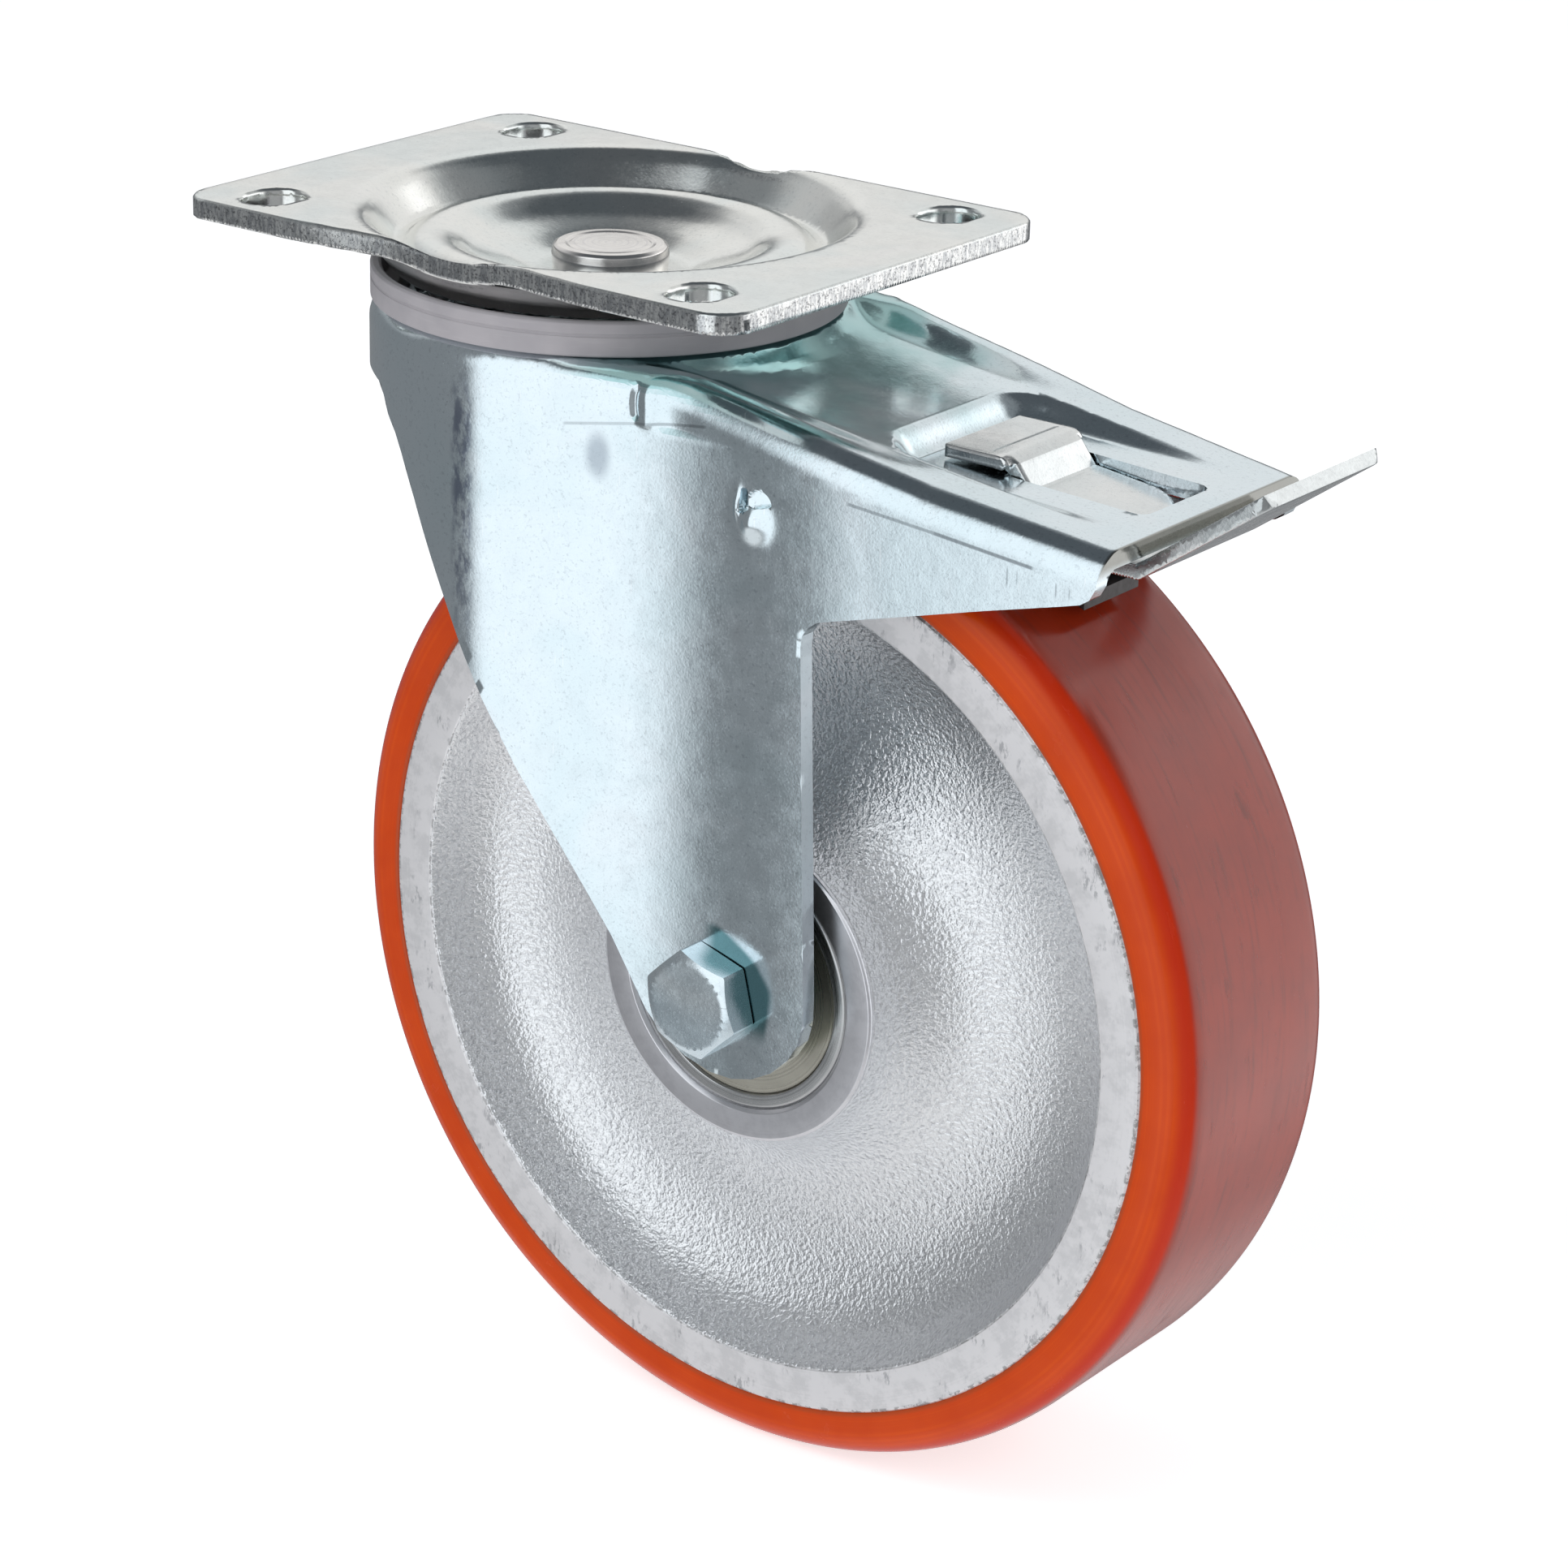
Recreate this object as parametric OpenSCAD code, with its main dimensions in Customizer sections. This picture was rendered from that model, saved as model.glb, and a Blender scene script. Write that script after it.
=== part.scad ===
// Swivel castor with top plate, pressed steel fork, total lock brake and a polyurethane wheel on ball bearings.
// Millimetres. The origin is the centre of the plate's top face on the swivel axis.
// +X points to the trailing side with the pedal, +Y to the nut side, +Z up.

/* [Top plate] */
// Length of the plate along X
plate_l = 135; // [130:0.5:145]
// Width of the plate along Y
plate_w = 100; // [97:0.5:110]
// Thickness of the plate
plate_t = 4; // [3.9:0.1:4.2]
// Corner radius of the plate
plate_corner = 9; // [4:0.5:12]
// Width of a mounting slot along X
slot_w = 11; // [9:0.1:12]
// Length of a mounting slot along Y
slot_l = 13.5; // [12.5:0.1:16]
// Distance between the slots along X
slot_dx = 105; // [104:0.5:112]
// Distance between the slots along Y
slot_dy = 77.5; // [72:0.5:80]
// How far the long edges are drawn in at the middle
edge_draw = 3; // [1:0.1:3.5]

/* [Swivel head] */
// Depth of the crown's top face under the plate's top face
crown_drop = 17.4; // [17.3:0.05:17.6]
// Outer radius of the crown's skirt
skirt_r = 46.7; // [46.5:0.1:48]
// Diameter of the upper balls
upper_ball_d = 7.9; // [7.6:0.05:7.95]
// Number of upper balls
upper_balls_n = 24; // [16:1:26]
// Diameter of the lower balls
lower_ball_d = 6; // [5.6:0.05:6.1]
// Number of lower balls
lower_balls_n = 18; // [12:1:20]
// Diameter of the kingpin's head
pin_head_d = 23; // [20:0.5:26]
// Diameter of the kingpin's shank
pin_d = 15; // [12:0.5:18]
// Height of the seal ring's outer wall
seal_h = 6.8; // [5.5:0.1:6.9]
// Number of notches in the lock ring, one of them on +X
notch_n = 24; // [12:12:24]
// Width of a notch
notch_w = 4.2; // [4.1:0.1:4.8]

/* [Fork] */
// Sheet thickness of the fork
sheet = 3.5; // [3.3:0.1:3.6]
// Outer distance between the flat legs
fork_w = 77; // [76:0.5:80]
// Distance of the hood's rear end from the swivel axis
hood_end = 138; // [137:0.5:140]
// Outer width of the hood at its rear end
hood_end_w = 68; // [64:0.5:74]
// Depth of the hood's top face at its rear end
hood_end_drop = 33; // [32.9:0.05:33.2]
// Outer bend radius along the hood's edges
hood_bend = 5.6; // [4.5:0.1:7]
// Half width of the window in the hood
window_half = 11.3; // [11.2:0.1:12]

/* [Wheel] */
// Wheel diameter
wheel_d = 200; // [196:1:210]
// Gap between the plate's top face and the top of the wheel
wheel_gap = 37.1; // [36.9:0.1:38]
// Offset of the axle behind the swivel axis
offset_x = 57.8; // [57:0.1:58.5]
// Width of the tread between its edges
tread_w = 47.2; // [44:0.2:50]
// Thickness of the tread above the wheel centre
tread_t = 10.2; // [8:0.1:11]
// Length of the wheel centre's hub
hub_l = 62; // [60:0.5:64]
// Outer diameter of the hub's end face
hub_d = 64.4; // [60:0.2:70]

/* [Bearings and axle] */
// Outer diameter of a wheel bearing
brg_od = 52; // [50:0.5:53]
// Bore of a wheel bearing
brg_id = 25; // [22:0.5:26]
// Width of a wheel bearing
brg_w = 15; // [14:0.5:15.5]
// Ball diameter of a wheel bearing
brg_ball_d = 7.9; // [7:0.1:8]
// Number of balls in a wheel bearing
brg_balls_n = 9; // [7:1:10]
// Diameter of the axle bolt
bolt_d = 12; // [10:0.5:14]
// Width across flats of the bolt head and the nut
hex_s = 19; // [17:0.5:22]
// Height of the bolt head
head_h = 7.5; // [6:0.1:8.5]
// Height of the nut
nut_h = 10.8; // [9:0.1:12]

/* [Brake] */
// Width of the pedal plate
pedal_w = 39; // [34:0.5:42]
// Thickness of the pedal plate
pedal_t = 2.6; // [2.2:0.1:2.8]
// Length of the pedal's sloping plate
pedal_len = 31.6; // [28:0.2:34]
// Slope of the pedal plate in degrees
pedal_slope = 35.6; // [34:0.1:38]
// Travel of the pedal in degrees
pedal_travel = 12; // [10:0.5:12.5]
// Diameter of the pedal's pivot pin
pivot_d = 6; // [5:0.1:6.4]
// Thickness of the brake shoe's sheet
shoe_t = 2.5; // [2:0.1:3]
// Thickness of the lock plate
lock_t = 2.5; // [2.3:0.05:2.6]
// Width of the lock plate's nose
nose_w = 3.5; // [3:0.1:3.6]
// Width of the hook tab's head
tab_w = 24.6; // [23:0.2:26]

/* [Hidden] */
$fn = 72;
e = 0.01;
wheel_r = wheel_d / 2;
axle_z = -(wheel_gap + wheel_r);
crown_z = -crown_drop;
inner_y = fork_w / 2 - sheet;
slope = 0.13;
slope_deg = atan(slope);
ridge_deg = 10.8;
taper = (fork_w - hood_end_w) / 2 / (hood_end - 77);
taper_deg = atan(taper);
facet_x = 46.5;
facet_deg = asin(skirt_r / norm([facet_x, fork_w / 2])) - atan2(fork_w / 2, facet_x);
tan_x = skirt_r * sin(facet_deg);
tan_y = skirt_r * cos(facet_deg);
pin_hole = pin_d / 2 + 0.03;
race_z = -plate_t - 5;
upper_z = race_z - 4;
lower_r = 20.5;
shoe_half = 9;
rivet_y = shoe_half - shoe_t - 2.4;
cup_z = -28.5;
ring_top = -31.5;
ring_t = 4;
ring_r = 30;
pivot_x = 108;
pivot_z = -42;
pivot_hole = pivot_d / 2 + 0.05;
fulcrum_x = 104;
fulcrum_z = -31.5;
pedal_top = -38.5;
pedal_bend = 136.6;
floor_x = 84;
floor_z = -29.9;
floor_slope = (hood_end_drop + floor_z - (hood_end - 132) * slope) / (132 - floor_x);
rim_r = wheel_r - tread_t;
rim_y = 27.2;
bolt_end = fork_w / 2 + nut_h + 2.6;
leg_k = (axle_z - crown_z) / (-137.1 + 17.4);

function hood_z(x) = -hood_end_drop + (hood_end - x) * slope;
function floor_at(x) = floor_z - (x - floor_x) * floor_slope;
function leg_z(z) = crown_z + (z + 17.4) * leg_k;

// Helpers

module on_axle() {
  translate([offset_x, 0, axle_z]) rotate([90, 0, 0]) children();
}

module side(w) {
  rotate([90, 0, 0]) linear_extrude(height = w, center = true) children();
}

module rounded(l, w, r) {
  square([l - 2 * r, w], center = true);
  square([l, w - 2 * r], center = true);
  for (x = [-1, 1], y = [-1, 1]) translate([x * (l / 2 - r), y * (w / 2 - r)]) circle(r = r);
}

module slot2(l, w) {
  square([w, l - w], center = true);
  for (s = [-1, 1]) translate([0, s * (l - w) / 2]) circle(d = w);
}

// Top plate group

module dish() {
  t = plate_t;
  rotate_extrude($fn = 144) polygon([[54, 0], [52.6, -0.15], [51, -0.5], [49.4, -1.1], [48.2, -1.8],
    [47.3, -2.6], [43.6, -6.4], [42.9, -7.0], [42.2, -7.4], [40.4, -7.5], [39.6, -7.1], [38, -5.7],
    [36.6, -5.1], [35, -4.9], [33.2, -5.0], [31.6, -5.4], [29.6, -6.5], [26.6, -8.2], [21, -10.2],
    [16.5, -12.1], [14.6, -12.5], [pin_hole, -12.5], [pin_hole, -12.5 - t], [15, -12.5 - t],
    [17.5, -12 - t], [21.5, -10.4 - t], [26.6, -8.3 - t], [30, -6.3 - t], [32.4, -5.15 - t],
    [34, -4.98 - t], [36.2, -4.98 - t], [37.6, -5.5 - t], [39.2, -6.9 - t], [40, -7.3 - t],
    [43, -7.3 - t], [43.7, -7.2 - t], [44.7, -6.3 - t], [49.4, -1.5 - t], [50.6, -0.6 - t],
    [52.2, -0.1 - t], [54, -t]]);
}

module top_plate() {
  color([0.8, 0.82, 0.82]) difference() {
    union() {
      difference() {
        translate([0, 0, -plate_t]) linear_extrude(height = plate_t) rounded(plate_l, plate_w, plate_corner);
        translate([0, 0, -plate_t - 1]) cylinder(r = 53.9, h = plate_t + 2, $fn = 144);
      }
      intersection() {
        dish();
        translate([0, 0, -40]) linear_extrude(height = 50) rounded(plate_l, plate_w, plate_corner);
      }
    }
    for (x = [-1, 1], y = [-1, 1])
      translate([x * slot_dx / 2, y * slot_dy / 2, -plate_t - 1])
        linear_extrude(height = plate_t + 2) slot2(slot_l, slot_w);
    edge_r = (22 * 22 + edge_draw * edge_draw) / (2 * edge_draw);
    for (s = [-1, 1])
      translate([0, s * (plate_w / 2 - edge_draw + edge_r), -30]) cylinder(r = edge_r, h = 40, $fn = 180);
  }
}

module kingpin() {
  r = pin_head_d / 2;
  s = pin_d / 2;
  color([0.75, 0.75, 0.74]) rotate_extrude() polygon([[0, -7.2], [r - 1.6, -7.2], [r - 0.7, -7.5],
    [r - 0.15, -8.2], [r, -9], [r, -12.5], [s, -12.5], [s, -12.5 - plate_t], [13, -12.5 - plate_t],
    [13, cup_z], [s, cup_z], [s, ring_top - ring_t], [11, ring_top - ring_t], [11, -36.6], [9.6, -37.6],
    [8, -38], [0, -38]]);
}

module lower_race() {
  color([0.7, 0.71, 0.72]) difference() {
    translate([0, 0, ring_top]) cylinder(r = 25.8, h = cup_z - ring_top + 2.2);
    translate([0, 0, ring_top - 1]) cylinder(r = pin_hole, h = 10);
    translate([0, 0, cup_z]) cylinder(r = 13.4, h = 10);
    race_cut();
    translate([0, 0, cup_z + 1]) cylinder(r = 24.3, h = 5);
    translate([0, 0, cup_z]) cylinder(r = 17.6, h = 5);
  }
}

module race_cut() {
  rotate_extrude() translate([lower_r, cup_z + lower_ball_d / 2]) circle(d = lower_ball_d + 0.16, $fn = 36);
}

module lock_ring() {
  color([0.6, 0.61, 0.62]) difference() {
    translate([0, 0, ring_top - ring_t]) cylinder(r = ring_r, h = ring_t);
    translate([0, 0, ring_top - ring_t - 1]) cylinder(r = pin_hole, h = ring_t + 2);
    for (i = [0 : notch_n - 1]) rotate([0, 0, i * 360 / notch_n])
      translate([26.5, -notch_w / 2, ring_top - ring_t - 1]) cube([10, notch_w, ring_t + 2]);
  }
}

// Swivelling group

module seal_ring() {
  r = skirt_r - 0.2;
  color([0.55, 0.53, 0.55]) rotate_extrude($fn = 144) polygon([[41, crown_z], [r - 0.3, crown_z],
    [r, crown_z + 0.3], [r, crown_z + seal_h - 0.4], [r - 0.5, crown_z + seal_h], [r - 1.6, crown_z + seal_h],
    [r - 2.2, crown_z + seal_h - 0.6], [r - 2.4, crown_z + 2], [41, crown_z + 1.6]]);
}

module upper_balls() {
  color([0.8, 0.8, 0.8]) for (i = [0 : upper_balls_n - 1]) rotate([0, 0, (i + 0.5) * 360 / upper_balls_n])
    translate([35, 0, upper_z]) sphere(d = upper_ball_d, $fn = 24);
}

module lower_balls() {
  color([0.8, 0.8, 0.8]) for (i = [0 : lower_balls_n - 1]) rotate([0, 0, (i + 0.5) * 360 / lower_balls_n])
    translate([lower_r, 0, cup_z + 3]) sphere(d = lower_ball_d - 0.1, $fn = 24);
}

module plan(d) {
  f = (skirt_r - d - 0.05) / skirt_r;
  y = fork_w / 2 - d;
  z = y - (160 - 77) * taper;
  circle(r = skirt_r - d, $fn = 144);
  polygon([[tan_x * f, -tan_y * f], [facet_x, -y], [77, -y], [160, -z], [160, z], [77, y], [facet_x, y],
    [tan_x * f, tan_y * f]]);
}

// A bar with rounded upper edges, its outer face near y = 0, running along X from x0 to x1
module bar(x0, x1, w, r, d) {
  b = r - d;
  rotate([90, 0, 90]) translate([0, 0, x0]) linear_extrude(height = x1 - x0) union() {
    translate([d - 3, -60]) square([w - 2 * d + 3, 60 - d - b]);
    translate([d + b - 0.15, -60]) square([w - 2 * d - 2 * b + 0.15, 60 - d]);
    translate([d + b - 0.15, -d - b]) circle(r = b, $fn = 48);
    translate([w - d - b, -d - b]) circle(r = b, $fn = 48);
  }
}

module hood_sides(d) {
  y = fork_w / 2;
  translate([facet_x, -y, crown_z - 0.5]) rotate([0, 0, -facet_deg]) bar(-facet_x, 3, 14, hood_bend, d);
  translate([facet_x, -y, crown_z - 0.5]) rotate([0, ridge_deg, 0]) bar(-1, 34, 13, hood_bend, d);
  translate([77, -y, crown_z - 0.5 - (77 - facet_x) * tan(ridge_deg)]) rotate([0, ridge_deg, 0])
    rotate([0, 0, taper_deg]) bar(-2.6, 34, 13.5, hood_bend, d);
  translate([77, -y, hood_z(77)]) rotate([0, slope_deg, 0]) rotate([0, 0, taper_deg])
    bar(-3, 90, 16, hood_bend, d);
}

module hood_top(d) {
  w = 26 + min(4, 2 * d);
  translate([0, 0, hood_z(0)]) rotate([0, slope_deg, 0]) translate([30, -w, -60 - d]) cube([140, 2 * w, 60]);
}

module fork_body(d) {
  r = skirt_r - d;
  b = 3.6 - min(d, 2.4);
  z = crown_z - d;
  intersection() {
    translate([0, 0, -190]) linear_extrude(height = 189) plan(d);
    union() {
      rotate_extrude($fn = 144) polygon([[0, -195], [r + 3, -195], [r + 3, z - 1.05 * b],
        [r + 0.013 * b, z - 1.05 * b], [r - 0.13 * b, z - 0.5 * b], [r - 0.5 * b, z - 0.13 * b],
        [r - b, z], [0, z]]);
      rotate_extrude($fn = 144) polygon([[0, -195], [55, -195], [55, -23.4 - d], [51.5, -21.7 - d],
        [49, -20.2 - d], [46.5 - d / 2, -18.4 - d], [0, -18.4 - d]]);
      hood_sides(d);
      mirror([0, 1, 0]) hood_sides(d);
      hood_top(d);
      translate([-60, -60, -195]) cube([240, 120, 135]);
    }
  }
}

module leg_outline() {
  difference() {
    polygon([[-60, -5], [hood_end, -5], [hood_end, -34], [hood_end - 0.9, -39.2],
      [136, -41.3], [134.2, -42.5], [130.2, -43.6], [114.8, -47.6], [97.3, -52.4], [82.9, -56.3],
      [80.2, -57.1], [78.2, -58.5], [77, -60.4], [76.7, -62.4], [79.4, leg_z(-133)],
      [79.3, leg_z(-138)], [78.3, leg_z(-142)], [76, leg_z(-145.8)], [72.4, leg_z(-149.3)],
      [68, leg_z(-151.8)], [63, leg_z(-153.2)], [58, leg_z(-153.2)], [52, leg_z(-151.4)],
      [47, leg_z(-148.4)], [42.8, leg_z(-143.8)], [35, leg_z(-130.2)], [24.9, leg_z(-115.4)],
      [14.3, leg_z(-99.8)], [7.3, leg_z(-87.8)], [2.3, leg_z(-78.2)], [-2.2, leg_z(-68.6)],
      [-6.8, leg_z(-59.2)], [-11.1, leg_z(-50.2)], [-15, -43], [-17.4, -39.4], [-20.4, -36.6],
      [-22.4, -33.4], [-25, -31.4], [-29, -31], [-60, -31]]);
    translate([offset_x, axle_z]) circle(d = bolt_d + 0.4, $fn = 72);
  }
}

module recess(d) {
  w = 47 - 2 * d;
  translate([floor_x - 3 + d, 0, floor_at(floor_x - 3) - d]) rotate([0, atan(floor_slope), 0])
    translate([0, -w / 2, 0]) cube([60 - 2 * d, w, 12]);
}

module window2() {
  x0 = 101.9;
  x1 = 132;
  h = window_half;
  translate([x0, -h]) square([x1 - 5 - x0, 2 * h]);
  translate([x1 - 6, -h + 5]) square([6, 2 * h - 10]);
  for (s = [-1, 1]) translate([x1 - 5, s * (h - 5)]) circle(r = 5);
}

module fork() {
  color([0.78, 0.82, 0.84]) difference() {
    intersection() {
      union() {
        difference() {
          fork_body(0);
          fork_body(sheet);
        }
        intersection() {
          fork_body(0);
          translate([floor_x - 5, -26, -40]) cube([54, 52, 30]);
          translate([0, 0, floor_at(0) - sheet]) rotate([0, atan(floor_slope), 0])
            translate([0, -26, 0]) cube([160, 52, 30]);
        }
        rotate_extrude() polygon([[16, -18.9], [25, -18.9], [28.5, crown_z], [30.5, crown_z],
          [31.2, crown_z + 0.35], [39, crown_z + 0.35], [39.6, crown_z], [41, crown_z - 1],
          [30, crown_z - sheet], [26, -18.9 - sheet], [16, -18.9 - sheet]]);
      }
      side(140) leg_outline();
    }
    recess(0);
    translate([0, 0, -60]) linear_extrude(height = 50) window2();
    translate([0, 0, -18.9]) cylinder(r = 25, h = 5);
    translate([0, 0, -40]) cylinder(r = 17, h = 40);
    for (s = [-1, 1]) translate([pivot_x, s * 34.4, pivot_z]) rotate([s * 90, 0, 0])
      cylinder(d = pivot_d + 0.02, h = 20, $fn = 48);
  }
}

module hex(h) {
  intersection() {
    cylinder(d = hex_s / cos(30), h = h, $fn = 6);
    rotate_extrude($fn = 72) polygon([[0, 0], [hex_s / 2 + 2, 0], [hex_s / 2 + 2, h - 1.5], [hex_s / 2 - 0.5, h],
      [0, h]]);
  }
}

module axle_bolt() {
  color([0.7, 0.76, 0.82]) on_axle() {
    translate([0, 0, fork_w / 2]) rotate([0, 0, 16]) hex(head_h);
    translate([0, 0, -bolt_end + 1]) cylinder(d = bolt_d, h = bolt_end + fork_w / 2);
    translate([0, 0, -bolt_end]) cylinder(d1 = bolt_d - 2, d2 = bolt_d, h = 1);
  }
}

module axle_nut() {
  color([0.7, 0.76, 0.82]) on_axle() translate([0, 0, -fork_w / 2]) mirror([0, 0, 1]) difference() {
    rotate([0, 0, 22]) hex(nut_h);
    translate([0, 0, -1]) cylinder(d = bolt_d + 0.06, h = nut_h + 2);
  }
}

module axle_tube() {
  color([0.7, 0.71, 0.72]) on_axle() difference() {
    cylinder(d = brg_id - 0.04, h = 2 * inner_y - 0.02, center = true);
    cylinder(d = bolt_d + 0.4, h = 2 * inner_y + 2, center = true);
  }
}

module brg_at(s) {
  on_axle() translate([0, 0, s * (hub_l / 2 - 0.6 - brg_w / 2)]) children();
}

brg_pitch = (brg_od + brg_id) / 4 + 0.05;

module ball_track() {
  rotate_extrude() translate([brg_pitch, 0]) circle(d = brg_ball_d + 0.12, $fn = 36);
}

module inner_ring() {
  color([0.75, 0.75, 0.74]) difference() {
    cylinder(r = brg_id / 2 + 3.1, h = brg_w, center = true);
    cylinder(d = brg_id, h = brg_w + 2, center = true);
    ball_track();
  }
}

module outer_ring() {
  color([0.72, 0.72, 0.72]) difference() {
    cylinder(d = brg_od, h = brg_w, center = true);
    cylinder(r = brg_od / 2 - 3.2, h = brg_w + 2, center = true);
    ball_track();
  }
}

module brg_balls() {
  color([0.8, 0.8, 0.8]) for (i = [0 : brg_balls_n - 1]) rotate([0, 0, i * 360 / brg_balls_n])
    translate([brg_pitch, 0, 0]) sphere(d = brg_ball_d, $fn = 24);
}

module shields() {
  color([0.76, 0.73, 0.66]) for (s = [-1, 1]) translate([0, 0, s * (brg_w / 2 - 1)]) difference() {
    cylinder(r = brg_od / 2 - 3.25, h = 0.6, center = true);
    cylinder(r = brg_id / 2 + 3.5, h = 2, center = true);
  }
}

module inner_ring_near() { brg_at(1) inner_ring(); }
module inner_ring_far() { brg_at(-1) inner_ring(); }
module outer_ring_near() { brg_at(1) outer_ring(); }
module outer_ring_far() { brg_at(-1) outer_ring(); }
module bearing_balls_near() { brg_at(1) brg_balls(); }
module bearing_balls_far() { brg_at(-1) brg_balls(); }
module shields_near() { brg_at(1) shields(); }
module shields_far() { brg_at(-1) shields(); }

// Wheel group

module wheel_half() {
  h = hub_l / 2;
  b = brg_od / 2;
  r = hub_d / 2;
  polygon([[b - 4, -1], [b - 4, h - 0.6 - brg_w - 0.6], [b, h - 0.6 - brg_w - 0.6], [b, h - 0.7], [b + 0.7, h],
    [r - 0.5, h], [r, h - 0.5], [r + 0.2, h - 2], [r + 2.3, h - 6.5], [r + 6.5, h - 11.5],
    [r + 12, h - 15.2], [r + 20, h - 17.6], [r + 28, h - 18.2], [r + 34, h - 17.4], [rim_r - 17, h - 15],
    [rim_r - 13, h - 11.4], [rim_r - 10, h - 6.2], [rim_r - 8.9, rim_y - 0.9], [rim_r - 8.3, rim_y - 0.2],
    [rim_r - 7.6, rim_y], [rim_r - 0.4, rim_y], [rim_r, rim_y - 0.4], [rim_r, -1]]);
}

module wheel_centre() {
  color([0.66, 0.66, 0.68]) on_axle() {
    rotate_extrude($fn = 144) wheel_half();
    mirror([0, 0, 1]) rotate_extrude($fn = 144) wheel_half();
  }
}

module tread_half() {
  w = tread_w / 2;
  polygon([[rim_r, -1], [rim_r, rim_y - 0.4], [rim_r + 1.2, rim_y - 0.1], [rim_r + 3.6, rim_y - 0.6],
    [wheel_r - 4.2, w + 1.9], [wheel_r - 2.2, w + 1.2], [wheel_r - 1.1, w + 0.5], [wheel_r - 0.4, w - 0.6],
    [wheel_r - 0.05, w - 2.2], [wheel_r, w - 4], [wheel_r, -1]]);
}

module tread() {
  color([0.85, 0.25, 0.05]) on_axle() {
    rotate_extrude($fn = 180) tread_half();
    mirror([0, 0, 1]) rotate_extrude($fn = 180) tread_half();
  }
}

// Brake

module pedal_pin() {
  color([0.75, 0.76, 0.78]) translate([pivot_x, 0, pivot_z]) rotate([90, 0, 0])
    cylinder(d = pivot_d, h = 68.6, center = true, $fn = 48);
}

module brake_spring() {
  color([0.5, 0.5, 0.52]) {
    for (y = [12, 13.4, 14.8]) translate([pivot_x, y, pivot_z]) rotate([90, 0, 0]) rotate_extrude()
      translate([3.9, 0]) circle(r = 0.72, $fn = 24);
    translate([pivot_x, 12, pivot_z + 3.9]) rotate([0, -90, 0]) cylinder(r = 0.7, h = 23, $fn = 24);
    translate([pivot_x + 3.9, 14.8, pivot_z]) rotate([0, 90, 0]) cylinder(r = 0.7, h = 9, $fn = 24);
  }
}

module pedal_profile() {
  c = cos(pedal_slope);
  s = sin(pedal_slope);
  b = pedal_top - pedal_t;
  k = pedal_t * tan(pedal_slope / 2);
  polygon([[113.6, pedal_top], [pedal_bend - k, pedal_top],
    [pedal_bend + pedal_len * c - pedal_t * s, b + pedal_len * s + pedal_t * c],
    [pedal_bend + pedal_len * c, b + pedal_len * s], [pedal_bend, b], [113.6, b]]);
}

module brake_pedal() {
  w = pedal_w / 2;
  color([0.8, 0.8, 0.8]) difference() {
    union() {
      side(pedal_w) pedal_profile();
      for (s = [-1, 1]) translate([0, s * (w - 1.25), 0]) side(2.5) {
        translate([pivot_x, pivot_z]) circle(r = 4.8, $fn = 48);
        polygon([[pivot_x, pivot_z - 4.8], [118, pivot_z - 4.2], [127, pedal_top - pedal_t - 1], [130, pedal_top - 1],
          [130, pedal_top], [113.6, pedal_top], [pivot_x + 2, pivot_z + 4.3]]);
      }
    }
    translate([pivot_x, 0, pivot_z]) rotate([90, 0, 0]) cylinder(r = pivot_hole, h = 80, center = true, $fn = 48);
    for (s = [-1, 1]) {
      translate([pedal_bend + pedal_len * cos(pedal_slope) - 3, s * (w - 3), -60]) difference() {
        translate([0, s > 0 ? 0 : -6, 0]) cube([10, 6, 80]);
        cylinder(r = 3, h = 80);
      }
      translate([116.8, s * rivet_y, -50]) cylinder(d = 3.4, h = 20, $fn = 36);
    }
  }
}

module brake_shoe() {
  b = pedal_top - pedal_t;
  color([0.6, 0.61, 0.62]) difference() {
    union() {
      intersection() {
        translate([pivot_x, 0, pivot_z]) rotate([0, -pedal_travel, 0]) translate([-pivot_x, 0, -pivot_z])
          on_axle() difference() {
            cylinder(r = wheel_r + 0.35 + shoe_t, h = 2 * shoe_half, center = true, $fn = 180);
            cylinder(r = wheel_r + 0.35, h = 30, center = true, $fn = 180);
          }
        translate([113.2, -shoe_half, -60]) cube([5.6, 2 * shoe_half, 20]);
      }
      translate([113.2, -shoe_half, b - shoe_t]) cube([5.6, 2 * shoe_half, shoe_t]);
      for (s = [-1, 1]) intersection() {
        translate([113.2, s * (shoe_half - shoe_t / 2) - shoe_t / 2, -60]) cube([5.6, shoe_t, 60 + b]);
        translate([pivot_x, 0, pivot_z]) rotate([0, -pedal_travel, 0]) translate([-pivot_x, 0, -pivot_z])
          on_axle() difference() {
            cylinder(r = wheel_r + 40, h = 60, center = true, $fn = 90);
            cylinder(r = wheel_r + 0.35, h = 70, center = true, $fn = 180);
          }
      }
    }
    for (s = [-1, 1]) translate([116.8, s * rivet_y, -48]) cylinder(d = 3.4, h = 20, $fn = 36);
  }
}

module shoe_rivets() {
  b = pedal_top - pedal_t - shoe_t;
  color([0.7, 0.7, 0.7]) for (s = [-1, 1]) translate([116.8, s * rivet_y, 0]) {
    translate([0, 0, b - 1]) cylinder(d = 3.38, h = pedal_top - b + 1.5, $fn = 36);
    translate([0, 0, b - 1]) cylinder(d = 4.6, h = 1, $fn = 36);
    translate([0, 0, pedal_top]) cylinder(d = 5.4, h = 0.8, $fn = 36);
  }
}

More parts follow.
